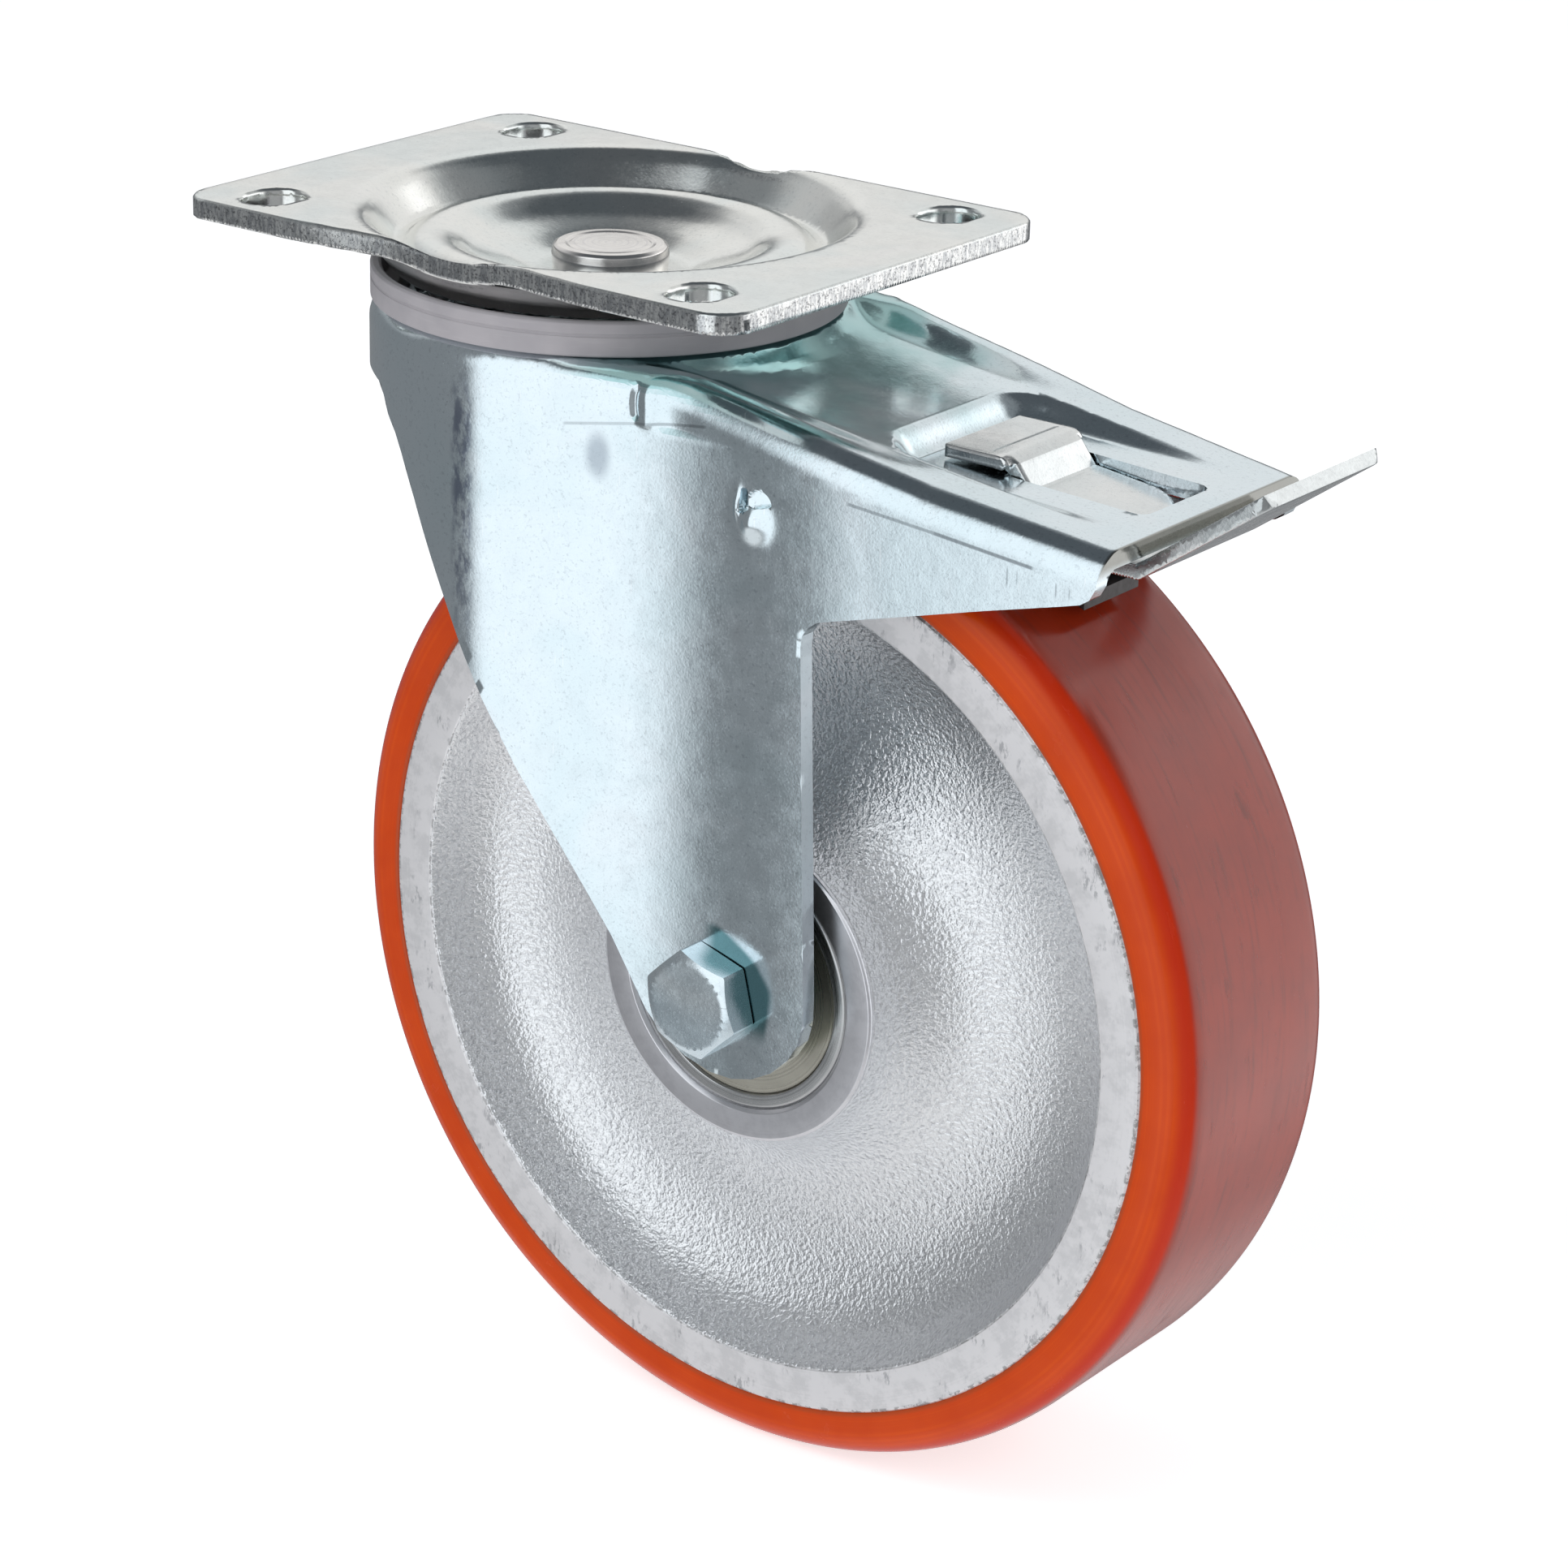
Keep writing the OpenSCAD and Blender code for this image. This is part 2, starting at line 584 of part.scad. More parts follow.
module lock_plate() {
  t = lock_t;
  color([0.8, 0.8, 0.79]) {
    side(tab_w) polygon([[89, -29.7 + t], [100.6, -29.7 + t], [102.4, -30 + t], [102.4, -29.9],
      [99.6, -29.7], [89, -29.7]]);
    side(21.4) polygon([[100.6, -29.7 + t], [102.6, -29.9 + t], [104, -30.6 + t], [105.6, -32.6],
      [126, -35.2], [126, -35.2 - t], [104.2, -32.9 - t + 0.2], [103.4, -32.9], [102.8, -31.2],
      [101.6, -30], [100.6, -29.7]]);
    intersection() {
      side(21.4) polygon([[120, -34.49], [129, -35.55], [129, -35.55 - t], [120, -34.49 - t]]);
      translate([118.5, 0, -50]) cylinder(r = 10.7, h = 30);
    }
    difference() {
      side(46) polygon([[70, -33.2], [80, -34.9], [105.2, -34.9], [105.2, -34.9 - t], [80, -34.9 - t],
        [70, -33.2 - t]]);
      translate([84, -12.5, -60]) cube([18.8, 25, 60]);
    }
    side(34) polygon([[46, -32], [58, -31], [70, -33.2], [70, -33.2 - t], [58, -31 - t], [46, -32 - t]]);
    side(12) polygon([[31, -37], [33.4, -37], [46.5, -31.95], [46.5, -31.95 - t], [34, -36.8 - t], [31, -37 - t]]);
    side(nose_w) polygon([[27.4, -37], [34, -37], [34, -37 - t], [27.4, -37 - t]]);
  }
}

top_plate();
kingpin();
lower_race();
lock_ring();
seal_ring();
upper_balls();
lower_balls();
fork();
axle_bolt();
axle_nut();
axle_tube();
inner_ring_near();
inner_ring_far();
pedal_pin();
brake_spring();
brake_pedal();
brake_shoe();
shoe_rivets();
lock_plate();
wheel_centre();
tread();
outer_ring_near();
outer_ring_far();
bearing_balls_near();
bearing_balls_far();
shields_near();
shields_far();
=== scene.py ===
import bpy, bmesh, math
import numpy as np
from mathutils import Vector, Matrix

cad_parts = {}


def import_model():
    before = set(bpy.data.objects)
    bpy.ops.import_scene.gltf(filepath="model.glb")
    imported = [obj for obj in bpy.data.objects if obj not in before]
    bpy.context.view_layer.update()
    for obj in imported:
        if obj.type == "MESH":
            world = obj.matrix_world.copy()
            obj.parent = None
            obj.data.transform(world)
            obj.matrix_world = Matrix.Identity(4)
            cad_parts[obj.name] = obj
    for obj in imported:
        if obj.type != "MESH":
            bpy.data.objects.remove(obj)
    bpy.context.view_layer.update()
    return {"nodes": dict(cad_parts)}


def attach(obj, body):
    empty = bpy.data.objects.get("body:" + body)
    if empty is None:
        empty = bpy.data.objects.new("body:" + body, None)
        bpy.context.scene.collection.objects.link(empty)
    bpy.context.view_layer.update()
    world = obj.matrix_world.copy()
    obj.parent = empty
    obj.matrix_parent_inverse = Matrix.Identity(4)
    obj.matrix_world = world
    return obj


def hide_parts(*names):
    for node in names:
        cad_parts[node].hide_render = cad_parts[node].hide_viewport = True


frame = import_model()
scene = bpy.context.scene
MM = 0.001
AX, AZ = 57.8, -137.1

# Helpers for signed distances, lengths in millimetres


def smin(a, b, k):
    """The smaller of two, blended over k."""
    h = np.clip(0.5 + 0.5 * (b - a) / k, 0, 1)
    return b + (a - b) * h - k * h * (1 - h)


def smax(a, b, k):
    return -smin(-a, -b, k)


def rmax(a, b, r):
    """The larger of two distances, with a fillet of radius r where they meet."""
    return np.minimum(-r, np.maximum(a, b)) + np.hypot(np.maximum(a + r, 0), np.maximum(b + r, 0))


def ramp(a, b, x):
    """0 before a, 1 after b, smooth between."""
    t = np.clip((x - a) / (b - a), 0, 1)
    return t * t * (3 - 2 * t)


def rect(x, y, x0, x1, y0, y1, r=0.0):
    """Distance to a rectangle with corners of radius r."""
    u = np.abs(x - (x0 + x1) / 2) - (x1 - x0) / 2 + r
    v = np.abs(y - (y0 + y1) / 2) - (y1 - y0) / 2 + r
    return np.minimum(np.maximum(u, v), 0) + np.hypot(np.maximum(u, 0), np.maximum(v, 0)) - r


def poly(x, z, pts):
    """Distance to a closed outline of (x, z) points."""
    d = None
    inside = None
    n = len(pts)
    for i in range(n):
        (ax, az), (bx, bz) = pts[i], pts[(i + 1) % n]
        ex, ez = bx - ax, bz - az
        t = np.clip(((x - ax) * ex + (z - az) * ez) / (ex * ex + ez * ez), 0, 1)
        q = (x - ax - t * ex) ** 2 + (z - az - t * ez) ** 2
        c = ((az > z) != (bz > z)) & (x < ex * (z - az) / (ez if ez else 1e-9) + ax)
        d = q if d is None else np.minimum(d, q)
        inside = c if inside is None else inside ^ c
    return np.sqrt(d) * np.where(inside, -1, 1)


def lines(lo, hi, h, *bands):
    """Grid lines h apart, with other spacings inside bands of (from, to, spacing)."""
    out = [lo - 1.5 * h]
    while out[-1] < hi + 1.5 * h:
        out.append(out[-1] + min([b[2] for b in bands if b[0] <= out[-1] < b[1]] or [h]))
    return np.array(out)


def contour(f, lo, hi, h, bands=((), (), ())):
    """Dual contouring of a signed distance field: vertices, triangles and corner normals."""
    axes = [lines(lo[i], hi[i], h, *bands[i]) for i in range(3)]
    v = np.broadcast_to(f(axes[0][:, None, None], axes[1][None, :, None], axes[2][None, None, :]),
                        [len(a) for a in axes]).astype(np.float64)
    shape = np.array(v.shape)
    neg = v < 0
    strides = np.array([shape[1] * shape[2], shape[2], 1])

    def grad(p, e=0.04):
        g = np.stack([f(*(p + np.eye(3)[i] * e).T) - f(*(p - np.eye(3)[i] * e).T) for i in range(3)], 1)
        return g / np.maximum(np.linalg.norm(g, axis=1, keepdims=True), 1e-9)

    quads, cells, pts, nrm = [], [], [], []
    for a in range(3):
        b, c = (a + 1) % 3, (a + 2) % 3
        s0, s1 = [slice(None)] * 3, [slice(None)] * 3
        s0[a], s1[a] = slice(0, -1), slice(1, None)
        idx = np.argwhere(neg[tuple(s0)] != neg[tuple(s1)])
        up = np.eye(3, dtype=int)[a]
        p0 = np.stack([axes[i][idx[:, i]] for i in range(3)], 1)
        step = (axes[a][idx[:, a] + 1] - axes[a][idx[:, a]])[:, None]
        t0, t1 = np.zeros(len(idx)), np.ones(len(idx))
        f0 = v[tuple(idx.T)]
        for _ in range(7):
            tm = (t0 + t1) / 2
            fm = f(*(p0 + up * tm[:, None] * step).T)
            same = (fm < 0) == (f0 < 0)
            t0, t1 = np.where(same, tm, t0), np.where(same, t1, tm)
        p = p0 + up * ((t0 + t1) / 2)[:, None] * step
        g = grad(p)
        base = idx @ strides
        ring = [base - strides[b] - strides[c], base - strides[c], base, base - strides[b]]
        flip = ~neg[tuple(idx.T)]
        q = np.stack(ring, 1)
        q[flip] = q[flip][:, ::-1]
        quads.append(q)
        for r in ring:
            cells.append(r)
            pts.append(p)
            nrm.append(g)
    cells, pts, nrm = np.concatenate(cells), np.concatenate(pts), np.concatenate(nrm)
    ids, inv = np.unique(cells, return_inverse=True)
    n = len(ids)
    cnt = np.bincount(inv, minlength=n)
    mass = np.stack([np.bincount(inv, pts[:, i], n) for i in range(3)], 1) / cnt[:, None]
    rel = np.einsum("ij,ij->i", nrm, pts - mass[inv])
    ata = np.empty((n, 3, 3))
    for i in range(3):
        for j in range(3):
            ata[:, i, j] = np.bincount(inv, nrm[:, i] * nrm[:, j], n)
        ata[:, i, i] += 0.004 * cnt
    atb = np.stack([np.bincount(inv, nrm[:, i] * rel, n) for i in range(3)], 1)
    move = np.linalg.solve(ata, atb[:, :, None])[:, :, 0]
    at = (ids // strides[0], ids // strides[1] % shape[1], ids % shape[2])
    size = np.stack([np.diff(axes[i])[np.minimum(at[i], shape[i] - 2)] for i in range(3)], 1)
    big = np.maximum((np.abs(move) / (0.9 * size)).max(axis=1, keepdims=True), 1)
    verts = mass + move / big
    quads = np.searchsorted(ids, np.concatenate(quads))
    c = verts[quads]
    bend = [np.abs(f(*((c[:, i] + c[:, i + 2]) / 2).T)) for i in (0, 1)]
    tris = np.where((bend[0] <= bend[1])[:, None], quads[:, [0, 1, 2, 0, 2, 3]], quads[:, [0, 1, 3, 1, 2, 3]])
    tris = tris.reshape(-1, 3)
    vn = grad(verts)
    c = verts[tris]
    corner = c * 0.6 + c.mean(axis=1)[:, None] * 0.4
    cn = grad(corner.reshape(-1, 3)).reshape(-1, 3, 3)
    keep = (cn * vn[tris]).sum(axis=2) > 0.93
    return verts, tris, np.where(keep[:, :, None], vn[tris], cn)


def link(name, mesh, mat, body, nodes):
    o = bpy.data.objects.new(name, mesh)
    scene.collection.objects.link(o)
    mesh.materials.append(mat)
    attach(o, body)
    if nodes:
        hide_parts(*nodes)
    return o


def solid(name, f, lo, hi, h, mat, body, slot, *nodes, bands=((), (), ())):
    verts, tris, normals = contour(f, lo, hi, h, bands)
    m = bpy.data.meshes.new(name)
    m.from_pydata((verts * MM).tolist(), [], tris.tolist())
    m.shade_smooth()
    if len(m.loops) == normals.shape[0] * 3:
        m.normals_split_custom_set(normals.reshape(-1, 3).tolist())
    return link(name, m, mat, body, nodes)


def fil(pts, n=5):
    """A closed outline of (a, b, radius) with its corners rounded."""
    out = []
    for i, p in enumerate(pts):
        r = p[2] if len(p) > 2 else 0
        c, a, b = (np.array(q[:2], float) for q in (p, pts[i - 1], pts[(i + 1) % len(pts)]))
        u, w = (a - c), (b - c)
        lu, lw = np.linalg.norm(u), np.linalg.norm(w)
        if r <= 0 or lu == 0 or lw == 0:
            out.append(tuple(c))
            continue
        u, w = u / lu, w / lw
        ang = math.acos(max(-1, min(1, float(u @ w))))
        t = min(r / math.tan(ang / 2), 0.48 * lu, 0.48 * lw)
        r = t * math.tan(ang / 2)
        m = c + (u + w) / np.linalg.norm(u + w) * (r / math.sin(ang / 2))
        s, e = c + u * t - m, c + w * t - m
        for k in range(n + 1):
            d = s + (e - s) * k / n
            d = d / np.linalg.norm(d) * r
            out.append(tuple(m + d))
    return out


def spline(pts, n=6):
    """A smooth curve through the points, n steps to each span."""
    p = [np.array(q, float) for q in pts]
    out = []
    for i in range(len(p) - 1):
        a, b, c, d = p[max(i - 1, 0)], p[i], p[i + 1], p[min(i + 2, len(p) - 1)]
        for k in range(n):
            t = k / n
            out.append(tuple(0.5 * (2 * b + (c - a) * t + (2 * a - 5 * b + 4 * c - d) * t * t
                                    + (3 * b - a - 3 * c + d) * t ** 3)))
    out.append(tuple(p[-1]))
    return out


def rev(name, prof, seg, axis, centre, mat, body, slot, *nodes, sharp=32, grain=None):
    """A closed outline of (radius, height) turned round an axis: Z up, or Y towards the far side.
    grain(r, h, x, y, z) gives how far a point stands out along the outline's normal."""
    n = len(prof)
    faces = []
    q = np.array(prof, float)
    t = np.roll(q, -1, 0) - np.roll(q, 1, 0)
    t = t / np.maximum(np.linalg.norm(t, axis=1, keepdims=True), 1e-9)
    a = (2 * math.pi * (np.arange(seg) + 0.5) / seg)[:, None]

    def place(r, h):
        if axis == "Z":
            return np.stack([centre[0] + r * np.cos(a), centre[1] + r * np.sin(a), centre[2] + h + 0 * a], 2)
        return np.stack([centre[0] + r * np.sin(a), centre[1] + h + 0 * a, centre[2] + r * np.cos(a)], 2)

    verts = place(q[None, :, 0], q[None, :, 1])
    if grain:
        d = grain(q[None, :, 0], q[None, :, 1], *np.moveaxis(verts, 2, 0))
        verts = place(q[None, :, 0] - t[None, :, 1] * d, q[None, :, 1] + t[None, :, 0] * d)
    verts = verts.reshape(-1, 3)
    for i in range(seg):
        for j in range(n):
            a, b = i * n + j, i * n + (j + 1) % n
            c, d = ((i + 1) % seg) * n + (j + 1) % n, ((i + 1) % seg) * n + j
            faces.append((a, b, c, d))
    m = bpy.data.meshes.new(name)
    m.from_pydata([(x * MM, y * MM, z * MM) for x, y, z in verts], [], faces)
    tidy_mesh(m, sharp)
    return link(name, m, mat, body, nodes)


def tidy_mesh(m, sharp=32):
    """Joins doubled points, turns faces outwards, smooths below the given angle in degrees."""
    b = bmesh.new()
    b.from_mesh(m)
    bmesh.ops.remove_doubles(b, verts=b.verts, dist=1e-6)
    bmesh.ops.recalc_face_normals(b, faces=b.faces)
    b.to_mesh(m)
    b.free()
    m.shade_smooth()
    m.set_sharp_from_angle(angle=math.radians(sharp))


# Materials


class Mat:
    def __init__(self, name):
        self.m = bpy.data.materials.new(name)
        self.m.use_nodes = True
        self.t = self.m.node_tree
        self.t.nodes.clear()
        self.out = self.t.nodes.new("ShaderNodeOutputMaterial")
        self.b = self.t.nodes.new("ShaderNodeBsdfPrincipled")
        self.t.links.new(self.b.outputs[0], self.out.inputs[0])
        self.co = self.t.nodes.new("ShaderNodeTexCoord").outputs["Object"]

    def put(self, sock, v):
        if isinstance(v, bpy.types.NodeSocket):
            self.t.links.new(v, sock)
        elif isinstance(v, tuple) and len(v) == 3 and sock.type == "RGBA":
            sock.default_value = (*v, 1)
        else:
            sock.default_value = v

    def set(self, **kw):
        for k, v in kw.items():
            self.put(self.b.inputs[k.replace("_", " ")], v)
        return self

    def node(self, kind, ins, **props):
        n = self.t.nodes.new("ShaderNode" + kind)
        for k, v in props.items():
            setattr(n, k, v)
        for k, v in ins.items():
            self.put(n.inputs[k], v)
        return n

    def noise(self, size, detail=3.0, rough=0.55, dist=0.0, co=None, seed=0.0):
        """Noise with features of the given size in millimetres."""
        co = co or self.co
        if seed:
            co = self.node("VectorMath", {0: co, 1: (seed, seed * 0.7, -seed)}, operation="ADD").outputs[0]
        return self.node("TexNoise", {"Vector": co, "Scale": 1 / (size * MM), "Detail": detail,
                                      "Roughness": rough, "Distortion": dist}).outputs[0]

    def spots(self, size, co=None):
        return self.node("TexVoronoi", {"Vector": co or self.co, "Scale": 1 / (size * MM)}).outputs[0]

    def stretch(self, v):
        return self.node("VectorMath", {0: self.co, 1: v}, operation="MULTIPLY").outputs[0]

    def math(self, op, a, b=0.0, c=0.0, clamp=False):
        n = self.node("Math", {0: a, 1: b, 2: c}, operation=op)
        n.use_clamp = clamp
        return n.outputs[0]

    def span(self, v, a, b, c=0.0, d=1.0):
        return self.node("MapRange", {0: v, 1: a, 2: b, 3: c, 4: d},
                         interpolation_type="SMOOTHSTEP").outputs[0]

    def line(self, v, a, b, c=0.0, d=1.0):
        return self.node("MapRange", {0: v, 1: a, 2: b, 3: c, 4: d}).outputs[0]

    def mix(self, f, a, b, mode="MIX"):
        n = self.node("Mix", {}, data_type="RGBA", blend_type=mode)
        self.put(n.inputs[0], f)
        self.put(n.inputs[6], a)
        self.put(n.inputs[7], b)
        return n.outputs[2]

    def bump(self, *layers):
        """Layers of (height, strength, distance in millimetres)."""
        prev = None
        for h, s, d in layers:
            n = self.node("Bump", {"Height": h, "Strength": s, "Distance": d * MM})
            if prev:
                self.t.links.new(prev, n.inputs["Normal"])
            prev = n.outputs[0]
        self.t.links.new(prev, self.b.inputs["Normal"])
        return self

    def xyz(self):
        n = self.node("SeparateXYZ", {0: self.co})
        return n.outputs[0], n.outputs[1], n.outputs[2]

    def rings(self, x, y=None, detail=3.0):
        """Noise that changes with one or two given values only, for turned and moulded rings."""
        ins = {0: x} if y is None else {0: x, 1: y}
        co = self.node("CombineXYZ", ins).outputs[0]
        return self.node("TexNoise", {"Vector": co, "Scale": 1.0, "Detail": detail}).outputs[0]

    def facing(self):
        """How far the face looks up."""
        n = self.t.nodes.new("ShaderNodeNewGeometry").outputs["True Normal"]
        return self.node("SeparateXYZ", {0: n}).outputs[2]

    def trace(self, p0, p1, wide):
        """1 along a straight line in the XZ plane, 0 beside it."""
        x, y, z = self.xyz()
        dx, dz = p1[0] - p0[0], p1[1] - p0[1]
        n = math.hypot(dx, dz)
        u = self.math("ADD", self.math("MULTIPLY", x, 1000 * dx / n), self.math("MULTIPLY", z, 1000 * dz / n))
        v = self.math("ADD", self.math("MULTIPLY", x, -1000 * dz / n),
                      self.math("MULTIPLY", z, 1000 * dx / n))
        mid = (p0[0] + p1[0]) / 2 * dx / n + (p0[1] + p1[1]) / 2 * dz / n
        c = -p0[0] * dz / n + p0[1] * dx / n
        along = self.span(self.math("ABSOLUTE", self.math("SUBTRACT", u, mid)), n / 2 + 0.5, n / 2 - 0.5)
        across = self.span(self.math("ABSOLUTE", self.math("SUBTRACT", v, c)), wide * 1.5, wide * 0.5)
        return self.math("MULTIPLY", along, across)

    def axle_r(self):
        """Distance from the axle in millimetres."""
        x, y, z = self.xyz()
        a = self.math("SUBTRACT", x, AX * MM)
        c = self.math("SUBTRACT", z, AZ * MM)
        r = self.math("SQRT", self.math("ADD", self.math("MULTIPLY", a, a), self.math("MULTIPLY", c, c)))
        return self.math("MULTIPLY", r, 1000.0)


def zinc(name, base, tint, rough=0.13, wobble=0.1, grain=0.28, dark=0.3, extra=None):
    """Bright zinc plate on steel: blue-white with faint tints, a fine spangle, pores and scratches."""
    m = Mat(name)
    big, mid, fine = m.noise(26, 2, 0.5, 0.6), m.noise(4, 4, 0.6), m.noise(0.55, 2, 0.6)
    pores = m.spots(2.6)
    col = m.mix(m.span(big, 0.38, 0.66), base, tint)
    col = m.mix(m.span(m.noise(17, 2, 0.5, 0.8, seed=3.0), 0.55, 0.78, 0, 0.16), col, (0.86, 0.82, 0.84))
    col = m.mix(m.span(m.noise(0.8, 3, 0.7), 0.54, 0.72, 0, dark), col, (0.30, 0.34, 0.38))
    col = m.mix(m.span(pores, 0.02, 0.09, 0.8 * dark, 0.0), col, (0.12, 0.13, 0.14))
    scratch = m.noise(0.5, 1, 0.5, co=m.stretch((1.0, 1.0, 0.07)))
    col = m.mix(m.span(scratch, 0.72, 0.78, 0, 0.35), col, (0.97, 0.98, 1.0))
    if extra:
        col = extra(m, col)
    r = m.line(mid, 0.25, 0.75, rough - 0.05, rough + 0.07)
    r = m.math("ADD", r, m.span(fine, 0.5, 0.8, 0.0, 0.10))
    m.set(Base_Color=col, Metallic=1.0, Roughness=r)
    m.bump((big, wobble, 0.9), (mid, 0.12, 0.12), (fine, grain, 0.045), (pores, 0.2, 0.03))
    return m.m


def sheared(m, col):
    """The cut edge of a thick sheet: smooth and bright above, torn and dark speckled below."""
    nz = m.math("ABSOLUTE", m.facing())
    x, y, z = m.xyz()
    past_y = m.math("SUBTRACT", m.math("ABSOLUTE", y), 0.0455)
    past_x = m.math("SUBTRACT", m.math("ABSOLUTE", x), 0.0660)
    edge = m.math("MULTIPLY", m.span(nz, 0.75, 0.55), m.span(m.math("MAXIMUM", past_y, past_x), 0.0, 0.0006))
    streak = m.noise(0.7, 3, 0.6, co=m.stretch((1.0, 1.0, 0.22)))
    speck = m.noise(0.55, 3, 0.75, seed=5.0)
    torn = m.mix(m.span(streak, 0.35, 0.65), (0.50, 0.51, 0.52), (0.88, 0.88, 0.86))
    torn = m.mix(m.span(speck, 0.50, 0.64, 0, 0.75), torn, (0.10, 0.10, 0.11))
    return m.mix(edge, col, torn)


def hood_tint_and_painted_shade(m, col):
    """Teal passivation round the seal, a painted dark teal reflection of the bolt head beside the bolt,
    bluish stains, grime on the hood's cut front, and painted shade along the pressed lines.
    """
    x, y, z = m.xyz()
    nz = m.facing()
    r = m.math("SQRT", m.math("ADD", m.math("MULTIPLY", x, x), m.math("MULTIPLY", y, y)))
    cloud = m.noise(14, 2, 0.5, seed=8.0)
    near = m.math("MULTIPLY", m.span(m.math("ADD", r, m.line(cloud, 0.3, 0.7, -0.01, 0.01)), 0.086, 0.050),
                  m.math("MULTIPLY", m.span(nz, 0.25, 0.6), m.span(x, 0.018, 0.034)))
    col = m.mix(near, col, (0.40, 0.62, 0.63))
    band = m.math("MULTIPLY", m.span(m.math("ABSOLUTE", m.math("SUBTRACT", x, 0.0022)), 0.0032, 0.0012),
                  m.math("MULTIPLY", m.span(z, -0.085, -0.055), m.span(z, -0.020, -0.032)))
    blot = m.span(m.noise(2.2, 4, 0.7, co=m.stretch((1.0, 1.0, 0.45)), seed=2.0), 0.40, 0.62, 0, 0.75)
    col = m.mix(m.math("MULTIPLY", band, blot), col, (0.17, 0.20, 0.30))
    dx = m.math("MULTIPLY", m.math("SUBTRACT", x, 0.0312), 1 / 0.0030)
    dz = m.math("MULTIPLY", m.math("ADD", z, 0.0345), 1 / 0.0052)
    far = m.math("SQRT", m.math("ADD", m.math("MULTIPLY", dx, dx), m.math("MULTIPLY", dz, dz)))
    smudge = m.math("MULTIPLY", m.span(far, 1.2, 0.35), m.span(cloud, 0.0, 0.1, 0.45, 0.6))
    col = m.mix(smudge, col, (0.28, 0.32, 0.38))
    # Painted reflection: a dark teal patch beside the bolt head stands for the head's reflection in the
    # polished wall.
    ra = m.math("ADD", m.axle_r(), m.line(cloud, 0.3, 0.7, -1.0, 1.0))
    bolt_reflection_window = m.math("MULTIPLY", m.span(x, 0.0550, 0.0590), m.span(z, -0.1450, -0.1400))
    painted_bolt_reflection = m.math("MULTIPLY", m.span(ra, 14.9, 13.2), bolt_reflection_window)
    col = m.mix(painted_bolt_reflection, col, (0.16, 0.30, 0.32))
    col = m.mix(m.math("MULTIPLY", m.span(x, 0.1372, 0.1378), 0.9), col, (0.27, 0.26, 0.23))
    # Painted shade: dark lines along the pressed creases.
    for p0, p1, wide, crease_shade in PAINTED_CREASE_SHADE:
        col = m.mix(m.math("MULTIPLY", m.trace(p0, p1, wide), crease_shade), col, (0.16, 0.18, 0.20))
    return col


# Lines pressed into the fork's walls, painted as dark lines standing for the shade in the creases: ends (x,
# z), half width in millimetres, strength
PAINTED_CREASE_SHADE = [((24, -29.4), (41.5, -26.8), 0.28, 0.35), ((41.5, -26.8), (54, -25.2), 0.28, 0.5),
         ((86, -33.3), (104, -35.2), 0.30, 0.55), ((104, -35.2), (124.5, -37.7), 0.34, 0.75),
         ((119.4, -38.6), (119.4, -41.8), 0.16, 0.5), ((121.4, -38.9), (121.4, -41.2), 0.12, 0.4),
         ((129.3, -39.6), (129.3, -42.0), 0.16, 0.5), ((132.0, -39.9), (132.0, -41.8), 0.12, 0.4)]


def painted_tip_shade(m, col):
    """The pedal's end painted darker and duller: painted shade at its rounded end."""
    x, y, z = m.xyz()
    end_shade = m.span(x, 0.1584, 0.1602, 0.0, m.span(m.noise(1.1, 3, 0.7), 0.3, 0.7, 0.75, 1.0))
    return m.mix(end_shade, col, (0.56, 0.58, 0.58))


def steel(name, base, rough=0.3, grain=0.3, size=0.8):
    m = Mat(name)
    a, f = m.noise(6, 3, 0.6), m.noise(size, 3, 0.65)
    col = m.mix(m.span(a, 0.35, 0.7), base, tuple(0.82 * c for c in base))
    m.set(Base_Color=col, Metallic=1.0, Roughness=m.line(f, 0.25, 0.75, rough - 0.06, rough + 0.1))
    m.bump((a, 0.12, 0.4), (f, grain, 0.04))
    return m.m


def turned(name, base, rough=0.3, pitch=0.35):
    """Machined faces: fine turning lines round the axle."""
    m = Mat(name)
    r = m.axle_r()
    x, y, z = m.xyz()
    ring = m.rings(m.math("MULTIPLY", r, 1 / pitch), m.math("MULTIPLY", y, 300.0), detail=2.0)
    a = m.noise(9, 3, 0.6)
    col = m.mix(m.span(a, 0.35, 0.7), base, tuple(0.86 * c for c in base))
    col = m.mix(m.span(ring, 0.5, 0.75, 0, 0.35), col, tuple(0.6 * c for c in base))
    m.set(Base_Color=col, Metallic=1.0, Roughness=m.line(ring, 0.3, 0.7, rough - 0.05, rough + 0.12))
    m.bump((ring, 0.35, 0.06), (m.noise(1.2), 0.12, 0.04))
    return m.m


M_PLATE = zinc("plate_zinc_look", (0.88, 0.88, 0.85), (0.80, 0.84, 0.83), rough=0.15, wobble=0.08,
               grain=0.2, dark=0.2, extra=sheared)
M_FORK = zinc("fork_zinc_look", (0.80, 0.88, 0.92), (0.75, 0.85, 0.89), extra=hood_tint_and_painted_shade)
M_PEDAL = zinc("pedal_zinc_look", (0.86, 0.86, 0.85), (0.78, 0.81, 0.81), rough=0.2, wobble=0.1, grain=0.3,
               dark=0.2, extra=painted_tip_shade)
M_BOLT = zinc("bolt_zinc_look", (0.88, 0.95, 0.98), (0.78, 0.89, 0.95), rough=0.24, wobble=0.3, grain=0.45,
              dark=0.15)


